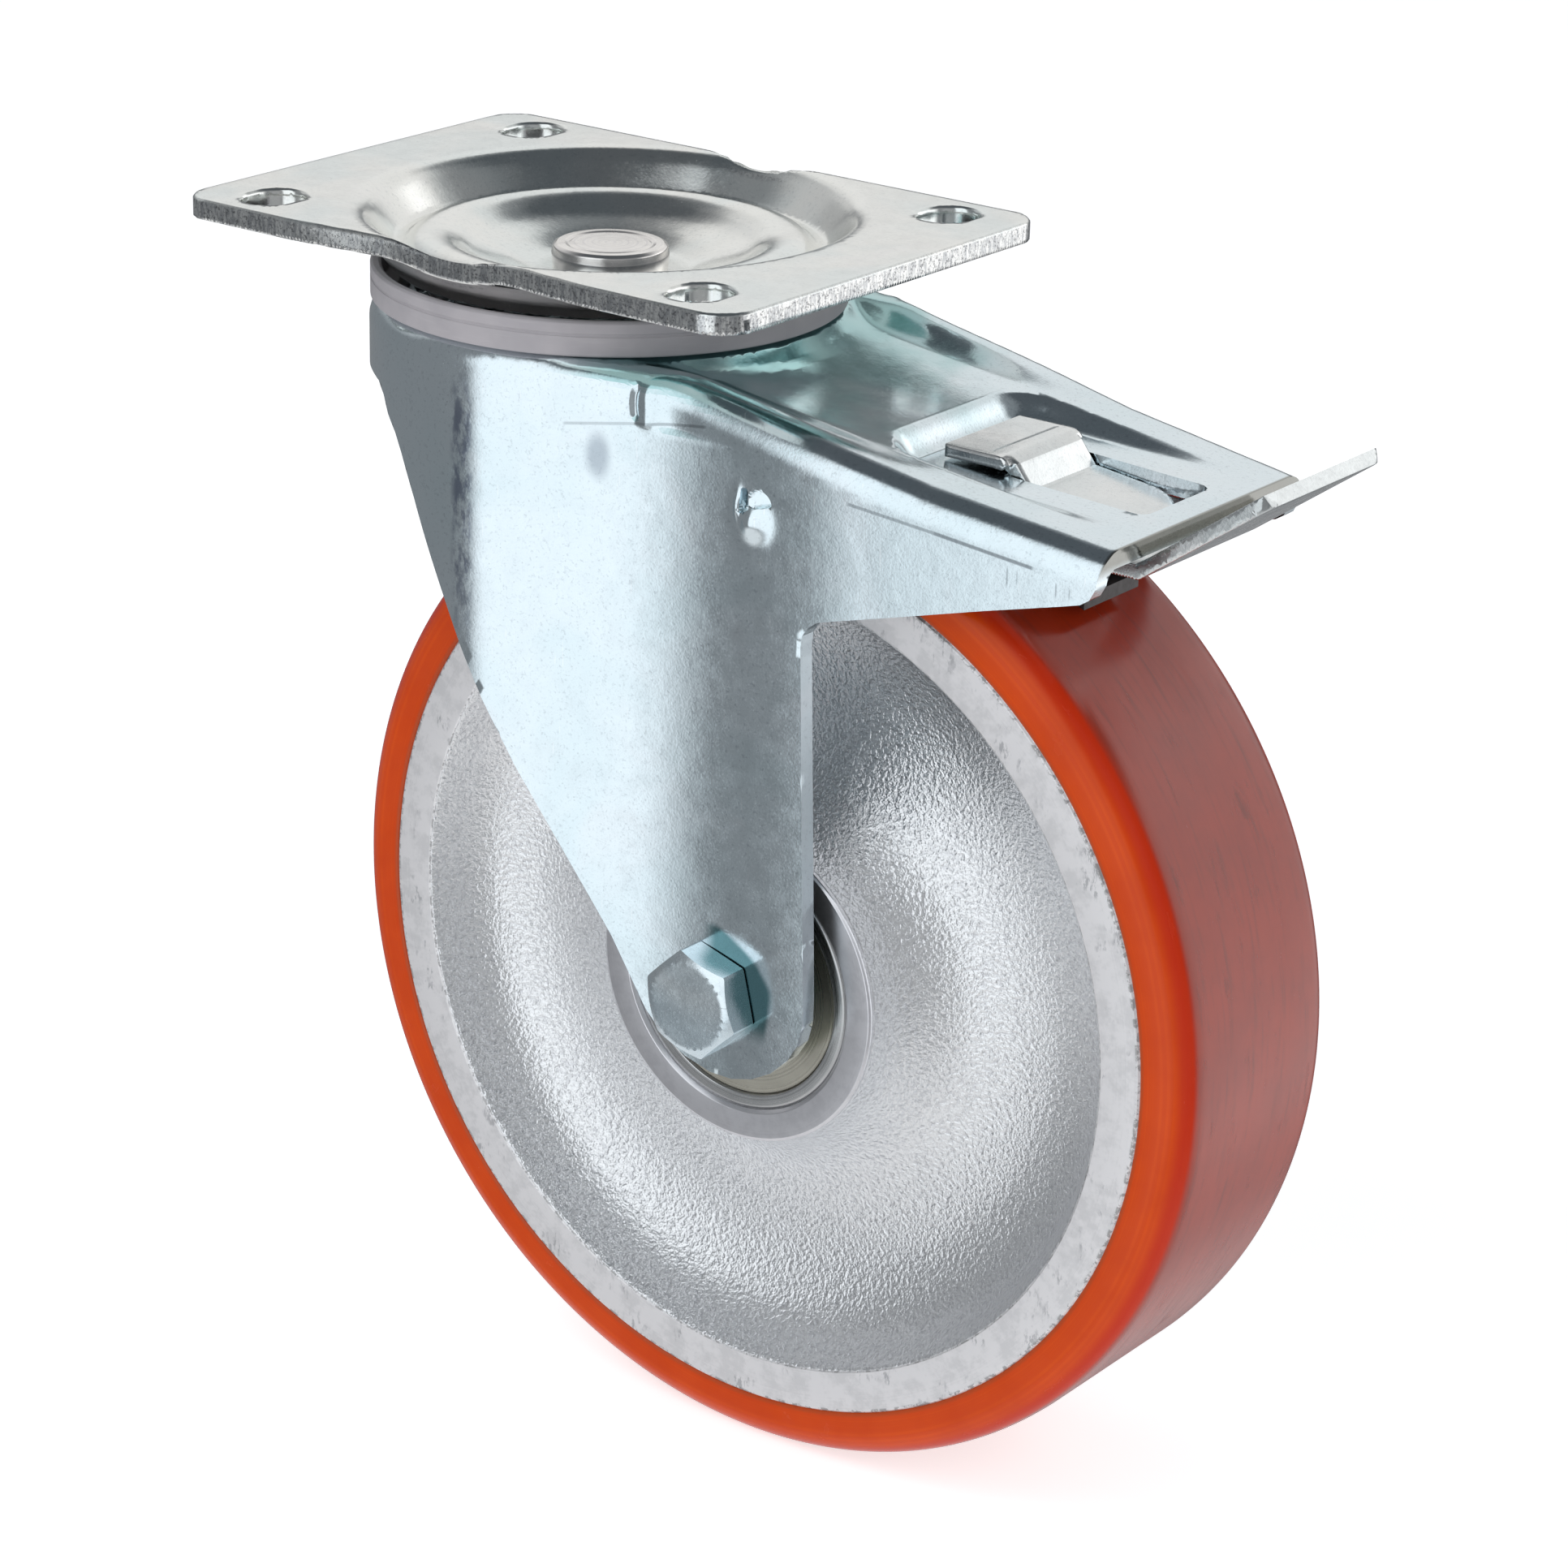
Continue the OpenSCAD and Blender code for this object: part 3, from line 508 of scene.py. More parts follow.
def pin_mat():
    m = Mat("pin_steel_look")
    x, y, z = m.xyz()
    r = m.math("MULTIPLY", m.math("SQRT", m.math("ADD", m.math("MULTIPLY", x, x),
                                                 m.math("MULTIPLY", y, y))), 1000.0)
    ring = m.rings(m.math("MULTIPLY", r, 1.6))
    a = m.noise(3, 3, 0.6)
    col = m.mix(m.span(ring, 0.45, 0.65), (0.90, 0.87, 0.84), (0.80, 0.77, 0.76))
    col = m.mix(m.span(a, 0.55, 0.75, 0, 0.25), col, (0.62, 0.60, 0.60))
    m.set(Base_Color=col, Metallic=1.0, Roughness=m.line(a, 0.3, 0.7, 0.18, 0.28))
    m.bump((ring, 0.25, 0.08), (m.noise(0.6), 0.15, 0.02))
    return m.m


M_PIN = pin_mat()
M_RACE = steel("race_steel_look", (0.50, 0.51, 0.52), 0.36)
M_BALL = steel("ball_steel_look", (0.80, 0.80, 0.80), 0.12, 0.05)
M_SPRING = steel("spring_steel_look", (0.42, 0.42, 0.43), 0.34)
M_BEARING = turned("bearing_steel_look", (0.62, 0.62, 0.62), 0.24)
M_SHOE = steel("shoe_steel_look", (0.085, 0.08, 0.08), 0.45)
M_SHIELD = turned("shield_steel_look", (0.74, 0.70, 0.60), 0.26)


def seal_mat():
    m = Mat("seal_plastic_look")
    x, y, z = m.xyz()
    a = m.noise(12, 3, 0.6)
    streak = m.noise(1.0, 3, 0.6, co=m.stretch((0.12, 0.12, 2.5)))
    col = m.mix(m.span(a, 0.35, 0.7), (0.375, 0.355, 0.375), (0.33, 0.315, 0.335))
    col = m.mix(m.span(streak, 0.55, 0.75, 0, 0.3), col, (0.45, 0.43, 0.45))
    # Painted shade: a dark line in the groove round the seal.
    painted_groove_shade = m.span(m.math("ABSOLUTE", m.math("SUBTRACT", z, -0.0132)), 0.0001, 0.0003, 0.14, 0.0)
    col = m.mix(painted_groove_shade, col, (0.16, 0.15, 0.17))
    m.set(Base_Color=col, Roughness=m.line(streak, 0.3, 0.7, 0.42, 0.55), Specular_IOR_Level=0.4)
    m.bump((a, 0.1, 0.3), (m.noise(0.8), 0.15, 0.04))
    return m.m


def pu_mat():
    """Cast polyurethane: glossy orange sides, deep red painted at the shoulder as painted shade of its
    rounding, a duller brown red running face that is partly painted shade, and a painted highlight line along
    the shoulder's edge.
    """
    m = Mat("tread_pu_look")
    x, y, z = m.xyz()
    r = m.axle_r()
    ay = m.math("ABSOLUTE", m.math("ADD", y, 0.0021))
    a = m.noise(16, 3, 0.6)
    ring = m.rings(m.math("MULTIPLY", r, 1.5), m.math("MULTIPLY", y, 900.0))
    streak = m.noise(1.2, 4, 0.65, co=m.stretch((0.08, 1.0, 0.08)))
    scuff = m.noise(3.5, 4, 0.7, co=m.stretch((0.3, 1.0, 0.3)), seed=4.0)
    side = m.mix(m.span(a, 0.3, 0.75), (0.60, 0.066, 0.004), (0.53, 0.052, 0.003))
    side = m.mix(m.span(ring, 0.42, 0.62, 0, 0.35), side, (0.50, 0.040, 0.004))
    # Painted shade: deeper red towards the shoulder, where its rounding turns from the light.
    side = m.mix(m.span(r, 96.2, 98.6, 0, 0.8), side, (0.46, 0.016, 0.002))
    side = m.mix(m.span(r, 90.2, 91.0, 0.55, 0.0), side, (0.30, 0.06, 0.02))
    # Painted shade in part: the running face's base is darker than the sides partly because it turns to the
    # dimmer right side; the rest is its own duller colour.
    face = m.mix(m.span(a, 0.3, 0.75), (0.30, 0.024, 0.006), (0.25, 0.020, 0.006))
    face = m.mix(m.span(streak, 0.5, 0.72, 0, 0.5), face, (0.14, 0.018, 0.010))
    face = m.mix(m.span(scuff, 0.60, 0.74, 0, 0.5), face, (0.10, 0.016, 0.012))
    band = m.math("MULTIPLY", m.span(r, 99.2, 99.85), m.span(ay, 0.0243, 0.0228))
    # Painted highlight: a thin bright orange-red line along the shoulder's edge.
    shoulder = m.math("MULTIPLY", m.span(ay, 0.0225, 0.0230), m.span(ay, 0.0245, 0.0238))
    line = m.math("MULTIPLY", m.span(r, 99.2, 99.7), shoulder)
    col = m.mix(band, side, face)
    col = m.mix(m.math("MULTIPLY", line, 0.6), col, (0.72, 0.09, 0.02))
    rough = m.math("ADD", m.line(streak, 0.3, 0.75, 0.17, 0.27),
                   m.math("MULTIPLY", m.span(scuff, 0.55, 0.75), 0.12))
    m.set(Base_Color=col, Roughness=rough, Specular_IOR_Level=m.line(band, 0.0, 1.0, 0.24, 0.66))
    m.b.inputs["Subsurface Weight"].default_value = 0.12
    m.b.inputs["Subsurface Radius"].default_value = (0.004, 0.0012, 0.0005)
    m.b.inputs["Subsurface Scale"].default_value = 0.5
    m.bump((a, 0.12, 0.5), (ring, 0.10, 0.10), (streak, 0.10, 0.07), (m.noise(0.7), 0.05, 0.03))
    return m.m


def cast_mat():
    """Sand cast aluminium, bright and grainy, with turned rings at the rim and round the hub."""
    m = Mat("cast_centre_look")
    r = m.axle_r()
    x, y, z = m.xyz()
    ay = m.math("ABSOLUTE", m.math("ADD", y, m.span(r, 50.0, 76.0, 0.0, 0.0021)))
    rough_cast = m.noise(0.85, 2, 0.55)
    a = m.noise(14, 3, 0.6)
    ring = m.rings(m.math("MULTIPLY", r, 3.0), detail=2.0)
    lathe = m.math("ADD", m.noise(1.1, 3, 0.7, co=m.stretch((0.25, 1.0, 0.25))),
                   m.line(ring, 0.3, 0.7, -0.05, 0.05))
    rim = m.math("MULTIPLY", m.span(r, 80.9, 81.3), m.span(ay, 0.0244, 0.0248))
    hub = m.math("MULTIPLY", m.span(r, 32.6, 32.1), m.span(ay, 0.0296, 0.0300))
    mach = m.math("MAXIMUM", rim, hub)
    soft = m.math("SUBTRACT", 1.0, mach)
    col = m.mix(m.span(rough_cast, 0.32, 0.52), (0.80, 0.80, 0.82), (0.97, 0.97, 0.98))
    col = m.mix(m.span(a, 0.35, 0.75, 0, 0.15), col, (0.84, 0.84, 0.86))
    mc = m.mix(m.span(lathe, 0.42, 0.66, 0, 0.5), (0.92, 0.90, 0.91), (0.69, 0.68, 0.69))
    patch, fleck = m.noise(7, 3, 0.6, seed=6.0), m.noise(0.9, 3, 0.7, co=m.stretch((1, 1, 0.3)))
    worn = m.math("MULTIPLY", m.span(patch, 0.54, 0.66), m.span(fleck, 0.5, 0.6))
    mc = m.mix(m.math("MULTIPLY", worn, 0.6), mc, (0.36, 0.36, 0.38))
    edge = m.math("MAXIMUM", m.span(m.math("ABSOLUTE", m.math("SUBTRACT", r, 89.5)), 0.7, 0.2),
                  m.span(m.math("ABSOLUTE", m.math("SUBTRACT", r, 81.1)), 0.4, 0.15))
    nick = m.span(m.noise(1.6, 3, 0.7, seed=9.0), 0.48, 0.58)
    mc = m.mix(m.math("MULTIPLY", m.math("MULTIPLY", edge, nick), 0.65), mc, (0.22, 0.21, 0.21))
    mc = m.mix(hub, mc, m.mix(m.span(lathe, 0.42, 0.66, 0, 0.5), (0.80, 0.79, 0.82), (0.66, 0.65, 0.68)))
    col = m.mix(mach, col, mc)
    m.set(Base_Color=col, Metallic=m.math("SUBTRACT", 0.97, m.math("MULTIPLY", rim, 0.17)),
          Roughness=m.math("ADD", 0.29, m.math("MULTIPLY", rim, 0.19)))
    m.bump((m.math("MULTIPLY", rough_cast, soft), 1.0, 0.44), (m.math("MULTIPLY", lathe, mach), 0.35, 0.06),
           (m.noise(0.7), 0.2, 0.05))
    return m.m


M_SEAL, M_PU, M_CAST = seal_mat(), pu_mat(), cast_mat()

# Fork

# Radius of the round front, thickness of the sheet, and the point where the flat walls begin
R0, SHEET = 46.7, 3.5
FX, FY = 46.5, 38.5
FDEG = math.asin(R0 / math.hypot(FX, FY)) - math.atan2(FY, FX)
TX, TY = R0 * math.sin(FDEG), R0 * math.cos(FDEG)
TAPER = (77 - 68) / 2 / (138 - 77)
LEG = [(-60, -5), (138, -5), (138, -34), (137.1, -39.2), (136, -41.3), (134.2, -42.5), (130.2, -43.6),
       (114.8, -47.6), (97.3, -52.4), (82.9, -56.3), (80.2, -57.1), (78.2, -58.5), (77, -60.4), (76.7, -62.4),
       (79.4, -133), (79.3, -138), (78.3, -142), (76, -145.8), (72.4, -149.3), (68, -151.8), (63, -153.2),
       (58, -153.2), (52, -151.4), (47, -148.4), (42.8, -143.8), (35, -130.2), (24.9, -115.4), (14.3, -99.8),
       (7.3, -87.8), (2.3, -78.2), (-2.2, -68.6), (-6.8, -59.2), (-11.1, -50.2), (-15, -43), (-17.4, -39.4),
       (-20.4, -36.6), (-22.4, -33.4), (-25, -31.4), (-29, -31), (-60, -31)]


def hood_z(x):
    return -33 + (138 - x) * 0.13


def side_y(x, k=3.2):
    flat = smin(FY + 0 * x, FY - (x - 77) * TAPER, 0.8)
    return smax(TY + (x - TX) * (FY - TY) / (FX - TX), flat, k)


def fork_top(x, y):
    r = np.hypot(x, y)
    crown = np.interp(r, [0, 16, 25, 28.5, 30.5, 31.2, 39, 39.6, 44, 46.5, 49, 51.5, 55, 62, 90],
                      [-18.9, -18.9, -18.9, -17.4, -17.4, -17.05, -17.05, -17.4, -17.4, -18.2, -20.1, -21.7,
                       -23.4, -27, -40])
    hood = np.minimum(hood_z(x), -19.2)
    edge = -17.9 - math.tan(math.radians(10.8)) * smax(x - FX, 0 * x, 3)
    s = side_y(x) - np.abs(y)
    lift = np.maximum(edge - hood, 0) * (1 - ramp(6.5, 15, s))
    top = smax(crown, hood + lift, 1.6)
    pit = ramp(0.0, 5.0, -rect(x, y, 80.5, 135, -23.8, 23.8, 9))
    floor = -29.9 - (x - 84) * 0.048
    return top - np.maximum(top - floor, 0) * pit


def fork_field(x, y, z):
    r, ay = np.hypot(x, y), np.abs(y)
    up = ramp(-28.2, -26.6, z)
    a = np.where(x * TY > ay * TX, (ay - side_y(x, 3.4 - 2.4 * up)) * 0.992, r - R0)
    cut = -38.9 + (x - 63) * 0.22
    a = a - 1.6 * np.exp(-((x - 65.3) / 2.7) ** 2 - ((z + 41.0) / 3.1) ** 2) * (z < cut)
    a = a - 0.9 * np.exp(-((x - 61.9) / 0.8) ** 2 - ((z + 38.4) / 2.4) ** 2)
    a = np.where(rect(x, z, 62.5, 64.0, -39.6, -34.9, 0.5) < 0, a + 2.4, a)
    a = np.where((rect(x, z, 64.0, 69.4, -39.8, -34.9, 2.3) < 0) & (z > cut), a + 0.3 + (x - 64) * 0.3, a)
    a = a - 0.8 * np.exp(-((x - 41.6) / 2.0) ** 2) * up
    nick = np.exp(-((x - 38.4 - 0.05 * (z + 23.5) ** 2) / 0.75) ** 2)
    a = a + 0.7 * nick * ramp(-27.0, -25.6, z) * ramp(-19.6, -21.2, z)
    b = (z - fork_top(x, y)) * 0.985
    d = rmax(a, b, 3.4 + 2.2 * ramp(25, 60, x))
    d = np.abs(d + SHEET / 2) - SHEET / 2
    d = np.maximum(d, poly(x, z, LEG))
    d = np.maximum(d, -rect(x, y, 101.9, 132, -11.3, 11.3, 2.5))
    d = np.maximum(d, 17 - r)
    d = np.maximum(d, 6.2 - np.hypot(x - AX, z - AZ))
    return d


H = 1.3
# Grid bands along X, Y and Z, each from, to and spacing: fine at small marks, coarse down the legs
FORK_BANDS = (((36, 45, 0.75), (60, 71, 0.55)), (),
              ((-154, -140, 1.1), (-134, -62, 2.0), (-46, -33.5, 0.55), (-30, -17, 0.9)))
solid("fork_sheet", fork_field, (-47, -47, -154), (139, 47, -16), H, M_FORK, "fork_assembly", "fork_zinc",
      "fork", bands=FORK_BANDS)

# Top plate

PR = spline([(0, -12.5), (8, -12.5), (12, -12.5), (14.6, -12.45), (16.5, -12.1), (21, -10.2), (26.6, -8.2),
             (29.6, -6.5), (31.6, -5.5), (33.2, -5.05), (35, -4.9), (36.6, -5.1), (38, -5.7), (39.6, -7.0),
             (40.4, -7.45),
             (41.8, -7.4), (42.5, -6.95), (43.1, -6.3), (46.0, -2.75), (47.0, -1.65), (47.9, -0.85),
             (49.0, -0.3), (50.2, -0.06), (51.5, 0), (58, 0), (100, 0)], 8)
# The plate's height and slope by radius
PX, PZ = np.array([p[0] for p in PR]), np.array([p[1] for p in PR])
PS = np.sqrt(1 + np.gradient(PZ, PX + np.arange(len(PX)) * 1e-7) ** 2)


def plate_field(x, y, z):
    r = np.hypot(x, y)
    c = np.interp(r, PX, PS)
    top = (z - np.interp(r, PX, PZ)) / c
    low = (np.interp(r, PX, PZ) - 4 * np.minimum(c, 1.0) - z) / c
    o = rect(x, y, -67.5, 67.5, -50, 50, 7.5)
    o = np.maximum(o, y - 50 + 2.4 * np.exp(-np.abs((x + 1) / 10.5) ** 3))
    o = np.maximum(o, -50 + 2.9 * np.exp(-np.abs((x + 2) / 27) ** 2.6) - y)
    ax, ay = np.abs(x) - 52.5, np.abs(np.abs(y) - 38.75)
    o = np.maximum(o, 5.5 - np.hypot(ax, np.maximum(ay - 1.25, 0)))
    d = rmax(top, o, 0.9)
    d = rmax(d, low, 0.3)
    return np.maximum(d, 7.5 - r)


solid("plate_sheet", plate_field, (-68, -51, -17.5), (68, 51, 0.5), 0.8,
      M_PLATE, "mounting_plate", "plate_zinc", "top_plate")

pin = [(0, -7.3), (7.6, -7.3, 0.4), (8.2, -7.5, 0.4), (8.9, -7.2, 0.5), (10.4, -7.25, 0.5), (11.2, -7.7, 0.6),
       (11.5, -9.2, 1.4), (11.2, -12.5, 0.2), (7.5, -12.5), (7.5, -16.5),
       (13, -16.5, 0.4), (13, -28.5, 0.3), (7.5, -28.5), (7.5, -35.5), (11, -35.5, 0.3), (11, -36.6, 0.5),
       (9.6, -37.6, 1), (8, -38, 1), (0, -38)]
rev("kingpin_body", fil(pin)[:-1] + [(0, -38)], 96, "Z", (0, 0, 0), M_PIN, "mounting_plate", "pin_steel",
    "kingpin")
seal = [(41, -17.4), (46.2, -17.4, 0.3), (46.5, -17.1, 0.3), (46.5, -13.6, 0.1), (46.35, -13.45, 0.1),
        (46.35, -13.0, 0.1), (46.5, -12.85, 0.1), (46.5, -11, 0.4), (46, -10.6, 0.4), (44.9, -10.6, 0.4),
        (44.3, -11.2, 0.4), (44.1, -15.4, 0.5), (41, -15.8, 0.3)]
rev("seal_body", fil(seal), 240, "Z", (0, 0, 0), M_SEAL, "fork_assembly", "seal_plastic", "seal_ring")

# Wheel

# The far half of rim and tread is narrower than the near half, as the photograph's right outline asks
FAR_CUT = 0.155
web = spline([(32.3, 30.6), (32.6, 29), (34.5, 24.5), (38.7, 19.5), (44.2, 15.8), (52.2, 13.4), (60.2, 12.8),
              (66.2, 13.6), (72.8, 16), (76.8, 19.6), (79.4, 24.4), (80.6, 26.6)], 5)
half = [(22, 0.0), (22, 14.8), (26, 14.8)]
half += fil([(26, 14.8), (26, 30.3, 0.2), (26.7, 31, 0.3), (31.7, 31, 0.4), (32.3, 30.5)])[1:-1]
half += web + fil([(80.6, 26.6), (81.4, 27.2, 0.3), (89.4, 27.2, 0.3), (89.8, 26.8, 0.2), (89.8, 0)])[1:-1]
half += [(89.8, 0)]
full = half + [(r, -h) for r, h in reversed(half)][1:-1]
full = [(r, h * (1 - FAR_CUT * ramp(50, 76, r)) if h > 0 else h) for r, h in full]


def cast_grain(r, h, x, y, z):
    """The skin of a sand casting on the dished web, none on machined faces."""
    rng = np.random.default_rng(11)
    out = 0
    for _ in range(60):
        k = rng.normal(size=3)
        k = k / np.linalg.norm(k) * 2 * math.pi / rng.uniform(1.9, 3.2)
        out = out + np.sin(k[0] * x + k[1] * y + k[2] * z + rng.uniform(0, 6.28))
    out = out / 5.5
    return GRAIN * out * ramp(33.0, 35.5, r) * (1 - ramp(78.5, 80.4, r)) * (r < 80.6)


# Relief of the cast skin in millimetres
GRAIN = 0.012
rev("wheel_casting", full, 400, "Y", (AX, 0, AZ), M_CAST, "wheel", "cast_centre",
    "wheel_centre",
    grain=cast_grain)
tw = spline([(89.8, 26.8), (90.3, 27.05), (92, 27.1), (94, 27.05), (95.3, 26.9), (96.4, 26.5), (97.4, 25.9),
             (98.3, 25.1), (99.0, 24.2), (99.55, 23.1), (99.88, 21.8), (100, 20.2)], 4)
tt = [(89.8, 0.0)] + tw + [(100, 10.0), (100, 0.0)]
tread = [(r, h * (1 - FAR_CUT)) for r, h in tt] + [(r, -h) for r, h in reversed(tt)][1:-1]
rev("tread_body", tread, 360, "Y", (AX, 0, AZ), M_PU, "wheel", "tread_pu", "tread")

for s, side in ((-1, "near"), (1, "far")):
    y0 = s * (31 - 0.6 - 7.5)
    ir = fil([(12.5, -7.5, 0.6), (15.4, -7.5, 0.4), (15.4, -6.4, 0.2), (16.0, -5.9, 0.2), (15.6, -2, 0.4),
              (14.3, 0, 1), (15.6, 2, 0.4), (16.0, 5.9, 0.2), (15.4, 6.4, 0.2), (15.4, 7.5, 0.4),
              (12.5, 7.5, 0.6)])
    oring = fil([(26, -7.5, 0.9), (23.2, -7.5, 0.3), (22.9, -6.6, 0.2), (22.6, -6.2, 0.2), (22.8, -2, 0.4),
                 (23.6, 0, 1), (22.8, 2, 0.4), (22.6, 6.2, 0.2), (22.9, 6.6, 0.2), (23.2, 7.5, 0.3),
                 (26, 7.5, 0.9)])
    rev("bearing_inner_" + side, ir, 120, "Y", (AX, y0, AZ), M_BEARING, "fork_assembly",
        "bearing_steel", "inner_ring_" + side)
    rev("bearing_outer_" + side, oring, 144, "Y", (AX, y0, AZ), M_BEARING, "wheel",
        "bearing_steel", "outer_ring_" + side)

# Bolt and nut


def hexagon(name, flats, height, turn, y0, s, mat, node, bolt=None):
    """A hexagon with a chamfered end; s points outwards along Y. The bolt's shank goes with its head."""
    verts, faces = [], []
    n, rows, bore = 240, 16, 6.02
    for i in range(n):
        a = 2 * math.pi * i / n
        t = (a - math.radians(turn) + math.pi / 6) % (math.pi / 3) - math.pi / 6
        rh = flats / 2 / math.cos(t)
        rh = min(rh, flats / 2 / math.cos(math.pi / 6) - 0.12)
        prof = []
        for k in range(rows):
            prof.append(rh * k / rows if bolt else bore + (rh - bore) * k / (rows - 1))
        if bolt:
            prof.append(rh)
        ring = []
        for r in prof:
            top = height - max(0, r - (flats / 2 - 0.7)) * 0.58
            ring.append((r, top))
        ring += [(rh, ring[-1][1] - 0.3), (rh, height * 0.5), (rh, 0.35), (rh - 0.1, 0.22)]
        ring += [(flats / 2 - 0.6, 0.22), (flats / 2 - 0.7, 0), (6.0 if bolt else bore, 0)]
        if bolt:
            ring += [(6.0, -bolt + 1), (5.0, -bolt), (0, -bolt)]
        for r, h in ring:
            verts.append((AX + r * math.sin(a), y0 + s * h, AZ + r * math.cos(a)))
    m = len(verts) // n
    for i in range(n):
        for j in range(m - (1 if bolt else 0)):
            a, b = i * m + j, i * m + (j + 1) % m
            faces.append((a, b, ((i + 1) % n) * m + (j + 1) % m, ((i + 1) % n) * m + j))
    me = bpy.data.meshes.new(name)
    me.from_pydata([(x * MM, y * MM, z * MM) for x, y, z in verts], [], faces)
    tidy_mesh(me, 24)
    return link(name, me, mat, "fork_assembly", (node,))


hexagon("bolt_body", 19, 7.5, 16, -38.5, -1, M_BOLT, "axle_bolt", bolt=90.4)
hexagon("nut_body", 19, 10.8, 22, 38.5, 1, M_BOLT, "axle_nut")

# Brake


def strip(x, y, z, pts, half, r=0.35):
    return rmax(poly(x, z, pts), np.abs(y) - half, r)


def lock_field(x, y, z):
    d = strip(x, y, z, [(89, -27.2), (100.0, -27.2), (101.6, -27.35), (102.5, -27.8), (103.1, -28.6),
                        (101.6, -29.9), (99.6, -29.7), (89, -29.7)], 12.3, 0.5)
    neck = strip(x, y, z, [(98.6, -27.2), (100.8, -27.25), (102.4, -27.6), (104, -28.5), (105.4, -30.3),
                           (107.3, -32.7), (127.6, -35.1), (127.6, -37.6), (106.4, -35.3), (104.6, -34.2),
                           (103.4, -32.6), (102.6, -31), (101.2, -30), (98.6, -29.7)], 10.7, 0.4)
    neck = rmax(neck, np.where(x > 118.5, np.hypot(x - 118.5, y) - 10.7, -1), 0.3)
    d = smin(d, neck, 0.4)
    main = strip(x, y, z, [(70, -33.2), (80, -34.9), (105.2, -34.9), (105.2, -37.4), (80, -37.4),
                           (70, -35.7)], 23, 0.3)
    main = np.maximum(main, -rect(x, y, 84, 102.8, -12.5, 12.5, 2))
    front = strip(x, y, z, [(46, -32), (58, -31), (70, -33.2), (70.6, -33.3), (70.6, -35.8), (58, -33.5),
                            (46, -34.5)],
                  17, 0.3)
    tongue = strip(x, y, z, [(31, -37), (33.4, -37), (47, -31.9), (47, -34.4), (34, -39.3), (31, -39.5)], 6,
                   0.3)
    nose = strip(x, y, z, [(27.4, -37), (34, -37), (34, -39.5), (27.4, -39.5)], 1.75, 0.3)
    for q in (main, front, tongue, nose):
        d = np.minimum(d, q)
    return d


solid("lock_sheet", lock_field, (27, -23.5, -40), (129.5, 23.5, -26.5), 0.7,
      M_PEDAL, "swivel_lock", "pedal_zinc", "lock_plate")

# Where the pedal bends up (X), the length of its tongue, its thickness and the slope of 35.6 degrees
PB, PL, PT = 136.6, 31.6, 2.6
PC, PSN = math.cos(math.radians(35.6)), math.sin(math.radians(35.6))
PK = PT * math.tan(math.radians(17.8))


def pedal_field(x, y, z):
    t, b = -38.5, -41.1
    d = strip(x, y, z, [(113.6, t), (PB - PK, t), (PB + PL * PC - PT * PSN, b + PL * PSN + PT * PC),
                        (PB + PL * PC, b + PL * PSN), (PB, b), (113.6, b)], 19.5, 0.3)
    ex = PB + PL * PC
    corner = np.where((x > ex - 3) & (np.abs(y) > 16.5), np.hypot(x - ex + 3, np.abs(y) - 16.5) - 3, -5)
    d = rmax(d, corner, 0.3)
    foot = poly(x, z, [(108, -46.8), (118, -46.2), (127, -42.1), (130, -39.5), (130, -38.5), (113.6, -38.5),
                       (110, -37.7)])
    ear = smin(np.hypot(x - 108, z + 42) - 4.8, foot, 0.5)
    ear = rmax(ear, np.abs(np.abs(y) - 18.25) - 1.25, 0.3)
    d = np.minimum(d, ear)
    return np.maximum(d, 3.05 - np.hypot(x - 108, z + 42))


solid("pedal_sheet", pedal_field, (102, -20, -47.5), (163.5, 20, -19.5), 0.65,
      M_PEDAL, "pedal", "pedal_zinc", "brake_pedal")


def tube(name, pts, r, mat, body, slot, *nodes, ring=12):
    pts = [Vector(p) for p in pts]
    up = Vector((0.2, 0.5, 0.84))
    verts, faces = [], []
    for i, p in enumerate(pts):
        t = (pts[min(i + 1, len(pts) - 1)] - pts[max(i - 1, 0)]).normalized()
        u = up.cross(t).normalized()
        w = t.cross(u)
        up = w
        for k in range(ring):
            a = 2 * math.pi * k / ring
            verts.append(tuple((p + (u * math.cos(a) + w * math.sin(a)) * r) * MM))
    for i in range(len(pts) - 1):
        for k in range(ring):
            faces.append((i * ring + k, i * ring + (k + 1) % ring, (i + 1) * ring + (k + 1) % ring,
                          (i + 1) * ring + k))
    faces += [tuple(range(ring)), tuple((len(pts) - 1) * ring + k for k in reversed(range(ring)))]
    m = bpy.data.meshes.new(name)
    m.from_pydata(verts, [], faces)
    tidy_mesh(m, 40)
    return link(name, m, mat, body, nodes)


coil = [(108 - 23 + k * 3.8, 11.6, -38.1) for k in range(6)]
coil += [(108 + 3.9 * math.sin(a), 11.6 + 3.2 * a / (math.pi * 4.5), -42 + 3.9 * math.cos(a))
         for a in np.linspace(0, math.pi * 4.5, 90)]
coil += [(111.9 + k * 1.5, 14.8, -42 - k * 0.05) for k in range(1, 7)]
tube("spring_coil", coil, 0.72, M_SPRING, "fork_assembly", "spring_steel", "brake_spring")
pinp = fil([(0, -34.3), (2.6, -34.3, 0.3), (3, -33.9, 0.2), (3, 33.9, 0.2), (2.6, 34.3, 0.3), (0, 34.3)])
rev("pivot_body", pinp, 48, "Y", (108, 0, -42), M_PIN, "fork_assembly", "pin_steel", "pedal_pin")

